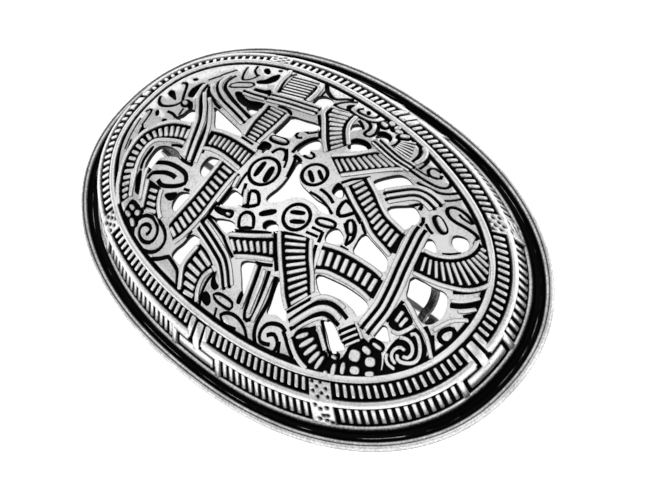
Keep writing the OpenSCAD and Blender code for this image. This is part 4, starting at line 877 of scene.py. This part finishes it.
def oblong(x, y, a, b, angle, count=12, boxy=0.8):
    """Anticlockwise outline of an oval or rounded slot with half axes a and b, turned by the angle."""
    turn = np.arange(count) * 2 * np.pi / count
    u, v = a * signed_power(np.cos(turn), boxy), b * signed_power(np.sin(turn), boxy)
    c, s = np.cos(np.radians(angle)), np.sin(np.radians(angle))
    return np.stack([x + u * c - v * s, y + u * s + v * c], -1)


# Each function from here to fan() draws one row of its table: relief goes to the pile, cuts to the cutters.
def band(pile, cutters, rungs, on_one, on_other, one, other):
    """Two rails with rungs between them, in one bed."""
    width, overlap = 0.72, 0.34
    rung_share, rung_start = 0.62, 0.70
    count = int(length_of(curve(one)) / STEP) + 2
    lines = [even(curve(points), count) for points in (one, other)]
    for line in lines:
        sweep(pile, line, rounded(width, RAIL))
    across = unit(lines[1] - lines[0])
    cutters.strip(lines[0] + across * overlap, lines[1] - across * overlap)
    pitch = length_of((lines[0] + lines[1]) / 2) * (on_one[1] - on_one[0]) / (rungs - 1)
    shares = (np.linspace(*on_one, rungs), np.linspace(*on_other, rungs))
    starts, ends = [at_steps(line, length_of(line) * along) for line, along in zip(lines, shares)]
    section = rounded(rung_share * pitch, RUNG, 0.5, 5)
    for start, end in zip(starts, ends):
        arm = unit(end - start) * rung_start
        sweep(pile, np.array([start + arm, end - arm]), section, tip=0.24, spacing=1.0)


def strap(pile, cutters, ridges, space, *points):
    """Close ridges side by side with fine grooves between them."""
    between = 0.36
    path = curve(points)
    path = even(path, max(int(length_of(path) / STEP), 4))
    left = left_of(path)
    for i in range(ridges):
        sweep(pile, path + left * (i - (ridges - 1) / 2) * space, rounded(space - between, RAIL))
    for i in range(ridges - 1):
        cutters.groove(path + left * (i + 1 - ridges / 2) * space, between / 2 + EASE)


def crest(pile, cutters, width, *points):
    sweep(pile, curve(points), rounded(width + 0.1, RAIL))


def groove(pile, cutters, width, *points):
    cutters.groove(curve(points, pieces=5), width / 2 - EASE)


def loop(pile, cutters, width, *points):
    cutters.groove(curve(points, closed=True, pieces=5), width / 2 - EASE, closed=True)


def round_eye(pile, cutters, x, y, radius, width):
    cutters.groove(oblong(x, y, radius, radius, 0, 32, 1), width / 2 - EASE, closed=True)


def slot(pile, cutters, x, y, a, b, angle):
    cutters.hole(oblong(x, y, a - 0.02, b - 0.02, angle, 16), BED_WALL)


def pad(pile, cutters, x, y, a, b, angle):
    margin, bed_margin = 0.06, 0.36
    cutters.hole(oblong(x, y, a + bed_margin, b + bed_margin, angle, 20), BED_WALL)
    plate(pile, oblong(x, y, a + margin, b + margin, angle), RAIL)


def pool(pile, cutters, *outline):
    cutters.hole(curve(outline, closed=True, pieces=3), BED_WALL)


def gap(pile, cutters, *outline):
    cutters.hole(curve(outline, closed=True, pieces=4), GAP_WALL)


def fan(pile, cutters, start, end, last_start, last_end, count):
    cutters.hole(np.array([start, end, last_end, last_start]), BED_WALL)
    first, last = np.array([start, end]), np.array([last_start, last_end])
    space = np.linalg.norm(last - first, axis=1).mean() / (count - 1)
    for f in np.linspace(0, 1, count):
        sweep(pile, first * (1 - f) + last * f, rounded(0.6 * space, RUNG * 0.85, steps=4), tip=0.15)


def bar(pile, start, end, width, height=RAIL, boxy=0.5):
    """Straight bar between two points (s, v) of the rings."""
    section = rounded(width, height, boxy, 5)
    sweep(pile, np.array([start, end]), section, place_on_rings, spacing=1.5, tip=0.25)


def stem(pile, middle):
    """A post on a broad foot, with the frame on both sides of it."""
    post_foot, post_width, height = 1.3, 1.25, 0.55
    foot_v, foot_reach, foot_width = 1.65, 3.45, 1.8
    bar(pile, (middle, post_foot), (middle, V_TOP - 0.25), post_width, height, boxy=0.3)
    foot = [(s, foot_v) for s in np.linspace(middle - foot_reach, middle + foot_reach, 12)]
    sweep(pile, np.array(foot), rounded(foot_width, height, 0.28), place_on_rings)
    for side in (-1, 1):
        for s_one, v_one, s_other, v_other, width in STEM_FRAME:
            bar(pile, (middle + side * s_one, v_one), (middle + side * s_other, v_other), width, boxy=0.4)


def ladder_rings(pile):
    """Rails, rungs, stems in their frames and dotted panels of the two rings."""
    rail_room, rail_width, rail_height = 1.2, 0.95, 0.74
    places = [float(np.interp(turn_of(x, y, *RING_MIDDLE), TURNS, RING_STEPS)) for x, y, _ in DIVISIONS]
    centres = sorted(zip(places, [kind for _, _, kind in DIVISIONS]))
    following = centres[1:] + [(centres[0][0] + RING_LENGTH, centres[0][1])]
    for (s, kind), (s_after, kind_after) in zip(centres, following):
        rail = np.array([(t, V_MIDDLE) for t in np.linspace(s + rail_room, s_after - rail_room, 80)])
        sweep(pile, rail, rounded(rail_width, rail_height, 0.5), place_on_rings, spacing=0.75)
        for low, high, stem_room, width, height in LADDERS:
            start = s + (stem_room if kind == "stem" else PANEL_ROOM)
            end = s_after - (stem_room if kind_after == "stem" else PANEL_ROOM)
            count = int(round((end - start) / LADDER_PITCH))
            for i in range(count):
                middle = start + (i + 0.5) * (end - start) / count
                bar(pile, (middle, low), (middle, high), width, height)
        if kind == "panel":
            panel(pile, s)
        else:
            stem(pile, s)


def underside(pile):
    """Hinge lugs round the pin's eye, and the bent strip that catches the pin."""
    hinge_x, hinge_y, eye_z = -27.0, -1.0, 2.1
    reach, half_lug, lug_place = 1.6, 0.55, 1.35
    polish = 0.5
    turn = np.linspace(-0.15 * np.pi, -0.85 * np.pi, 9)
    side_view = [(-1.4, 8.2), (1.4, 9.4)] + [(reach * np.cos(t), eye_z + reach * np.sin(t)) for t in turn]
    for y in (hinge_y - lug_place, hinge_y + lug_place):
        points = [[(hinge_x + u, y + w, z) for u, z in side_view] for w in (-half_lug, half_lug)]
        pile.add(np.array(points), polish, tube_faces(2, len(side_view)))
    hook = [
        (4.5, 9.5), (3.8, 6.7), (3, 5.1), (1.8, 4.1), (0.5, 3.9), (-0.5, 3.2), (-0.8, 2.1), (-0.3, 1.1),
        (0.8, 0.8), (1.9, 1.05),
    ]
    bend = curve(hook, pieces=3)
    left = left_of(bend)
    near_x, far_x, half_strip = 23.25, 24.35, 0.35
    corners = ((near_x, -half_strip), (near_x, half_strip), (far_x, half_strip), (far_x, -half_strip))
    strip = [np.column_stack([np.full(len(bend), x), bend + left * w]) for x, w in corners]
    pile.add(np.stack(strip, 1), polish, tube_faces(len(bend), len(corners)))


def join(pieces, name):
    bpy.ops.object.select_all(action="DESELECT")
    for piece in pieces:
        piece.select_set(True)
    bpy.context.view_layer.objects.active = pieces[0]
    bpy.ops.object.join()
    pieces[0].name = name
    return pieces[0]


def casting():
    pile, cutters = Pile(), Cutters()
    ladder_rings(pile)
    underside(pile)
    rail = np.stack(inner_oval(0.0, np.linspace(-np.pi, np.pi, 301)[:-1]), -1)
    sweep(pile, rail, rounded(*INNER_RAIL_SIZE), closed=True, spacing=0.6)
    for draw, rows in (
        (band, BANDS), (strap, STRAPS), (crest, CRESTS), (groove, GROOVES), (loop, LOOPS), (round_eye, EYES),
        (slot, SLOTS), (pool, POOLS), (pad, PADS), (fan, FANS), (gap, GAPS),
    ):
        for row in rows:
            draw(pile, cutters, *row)
    wall = shell()
    cutters.cut(wall)
    points = np.empty(len(wall.data.vertices) * 3)
    wall.data.vertices.foreach_get("co", points)
    x, y, z = points.reshape(-1, 3).T / MM
    height = z - ground(x, y)
    edge_x, edge_y = inner_oval(0.0, turn_of(x, y, *INNER_RAIL, INNER_POWER))
    above_inner_skin = height > -0.9 * WALL
    in_field = (np.hypot(x, y) < np.hypot(edge_x, edge_y)) & above_inner_skin
    polish = np.empty(len(x), np.float32)
    values = wall.data.attributes["polish"].data
    values.foreach_get("value", polish)
    polish = np.where(in_field, np.interp(height, *np.transpose(PLATE_POLISH)), polish)
    values.foreach_set("value", polish.astype(np.float32))
    return join([wall, pile.build("relief")], "casting_dressed")


def set_inputs(tree, node, inputs):
    """Each input is a constant or the socket of another node."""
    for name, value in inputs.items():
        if isinstance(value, bpy.types.NodeSocket):
            tree.links.new(value, node.inputs[name])
        else:
            node.inputs[name].default_value = value


def add_node(tree, kind, inputs, output, **settings):
    """Adds a node and returns one of its outputs."""
    node = tree.nodes.new(kind)
    for name, value in settings.items():
        setattr(node, name, value)
    set_inputs(tree, node, inputs)
    return node.outputs[output]


def noise(tree, scale, detail):
    """Noise that stays with the object."""
    place = add_node(tree, "ShaderNodeTexCoord", {}, "Object")
    return add_node(tree, "ShaderNodeTexNoise", {"Vector": place, "Scale": scale, "Detail": detail}, "Fac")


def greys(tree, value, stops):
    """Grey for a value. Stops are (position, grey), the two outer ones first."""
    node = tree.nodes.new("ShaderNodeValToRGB")
    elements = node.color_ramp.elements
    for k, (position, grey) in enumerate(stops):
        stop = elements[k] if k < 2 else elements.new(position)
        stop.position = position
        stop.color = (grey, grey, grey, 1)
    set_inputs(tree, node, {"Fac": value})
    return node.outputs["Color"]


def new_material(name):
    material = bpy.data.materials.new(name)
    material.use_nodes = True
    return material, material.node_tree, material.node_tree.nodes["Principled BSDF"]


def cast_metal():
    """Polished white metal with blackened recesses, by the polish attribute, which also paints shade and
    highlights.
    """
    material, tree, shader = new_material("cast_metal")
    total = add_node(tree, "ShaderNodeAttribute", {}, "Fac", attribute_name="polish")
    for scale, detail, amount in ((3200, 3, 0.55), (260, 2, 0.35)):
        spread = {0: noise(tree, scale, detail), 1: amount, 2: -amount / 2}
        part = add_node(tree, "ShaderNodeMath", spread, "Value", operation="MULTIPLY_ADD")
        total = add_node(tree, "ShaderNodeMath", {0: total, 1: part}, "Value", operation="ADD")
    rough = {"Value": total, "From Min": 0.3, "From Max": 0.9, "To Min": 0.6, "To Max": 0.34}
    grain = {"Height": noise(tree, 2200, 3), "Strength": 0.35, "Distance": 0.0001}
    set_inputs(tree, shader, {
        "Base Color": greys(tree, total, ((0.22, 0.004), (1.0, 0.93), (0.45, 0.08), (0.78, 0.50))),
        "Roughness": add_node(tree, "ShaderNodeMapRange", rough, "Result"),
        "Metallic": 0.95,
        "Normal": add_node(tree, "ShaderNodeBump", grain, "Normal"),
    })
    return material


def wire_metal():
    """Plain drawn wire with a slightly uneven grey."""
    material, tree, shader = new_material("pin_metal")
    grey = greys(tree, noise(tree, 700, 2), ((0.0, 0.30), (1.0, 0.48)))
    set_inputs(tree, shader, {"Base Color": grey, "Metallic": 1.0, "Roughness": 0.35})
    return material


def floor():
    """A pale floor that curves up at its far edge, so that low views end on it as well."""
    count = 72
    rings = ((0.85, 0.0), (0.90, 0.005), (0.935, 0.020), (0.955, 0.045), (0.960, 0.105))
    points, faces = [(0, 0, 0)], []
    for k, (radius, height) in enumerate(rings):
        for i in range(count):
            turn = 2 * np.pi * i / count
            points.append((radius * np.cos(turn), radius * np.sin(turn), height))
            a, b = 1 + k * count + i, 1 + k * count + (i + 1) % count
            faces.append((0, a, b) if k == 0 else (a - count, a, b, b - count))
    mesh = bpy.data.meshes.new("floor")
    mesh.from_pydata(points, [], faces)
    piece = bpy.data.objects.new("floor", mesh)
    bpy.context.scene.collection.objects.link(piece)
    material, tree, shader = new_material("floor")
    set_inputs(tree, shader, {
        "Base Color": (0.5, 0.5, 0.5, 1),
        "Roughness": 0.8,
        "Emission Color": (1, 1, 1, 1),
        "Emission Strength": 0.92,
    })
    mesh.materials.append(material)


def softbox(name, place, size, power):
    light = bpy.data.lights.new(name, "AREA")
    light.shape = "RECTANGLE"
    light.size, light.size_y = size
    light.energy = power
    piece = bpy.data.objects.new(name, light)
    piece.location = place
    piece.rotation_euler = (-Vector(place)).to_track_quat("-Z", "Y").to_euler()
    bpy.context.scene.collection.objects.link(piece)


def studio():
    """Sky that brightens upward, and two soft lights."""
    world = bpy.data.worlds.new("studio")
    bpy.context.scene.world = world
    world.use_nodes = True
    tree = world.node_tree
    place = add_node(tree, "ShaderNodeTexCoord", {}, "Generated")
    up = add_node(tree, "ShaderNodeSeparateXYZ", {"Vector": place}, "Z")
    set_inputs(tree, tree.nodes["Background"], {"Color": greys(tree, up, ((0.25, 0.24), (0.62, 0.82)))})
    softbox("key", place=(-0.30, 0.00, 0.50), size=(0.40, 0.40), power=0.12)
    softbox("fill", place=(0.40, -0.10, 0.45), size=(0.20, 0.30), power=0.15)
    bpy.context.scene.view_settings.view_transform = "Standard"


def camera():
    """The photograph's camera, beyond the +X end and rolled so that the brooch leans to the left."""
    azimuth, elevation, roll = np.radians([67.62, 56.86, 26.79])
    distance = 0.400
    sensor = 36
    width_px, height_px, focal_px = 649, 500, 2775.4
    centre_px = (310.32, 241.43)
    right = np.array([np.cos(azimuth), np.sin(azimuth), 0])
    level_back = np.array([np.sin(azimuth), -np.cos(azimuth), 0])
    back = level_back * np.cos(elevation) + np.array([0, 0, np.sin(elevation)])
    up = np.cross(back, right)
    x_axis = right * np.cos(roll) - up * np.sin(roll)
    y_axis = right * np.sin(roll) + up * np.cos(roll)
    lens = bpy.data.cameras.new("camera")
    lens.sensor_width = sensor
    lens.lens = focal_px / width_px * sensor
    lens.shift_x = (width_px / 2 - centre_px[0]) / width_px
    lens.shift_y = (centre_px[1] - height_px / 2) / width_px
    lens.clip_start = 0.01
    piece = bpy.data.objects.new("camera", lens)
    matrix = np.eye(4)
    matrix[:3] = np.column_stack([x_axis, y_axis, back, back * distance])
    piece.matrix_world = Matrix(matrix.tolist())
    bpy.context.scene.collection.objects.link(piece)
    bpy.context.scene.camera = piece


camera()
studio()
floor()

dressed = casting()
dressed.data.shade_smooth()
dressed.data.set_sharp_from_angle(angle=np.radians(50))
dressed.data.materials.clear()
dressed.data.materials.append(cast_metal())
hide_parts("casting")
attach(dressed, "root")
for name in ("pin", "hinge_rivet"):
    node = frame["nodes"][name]
    node.data.materials.clear()
    node.data.materials.append(wire_metal())
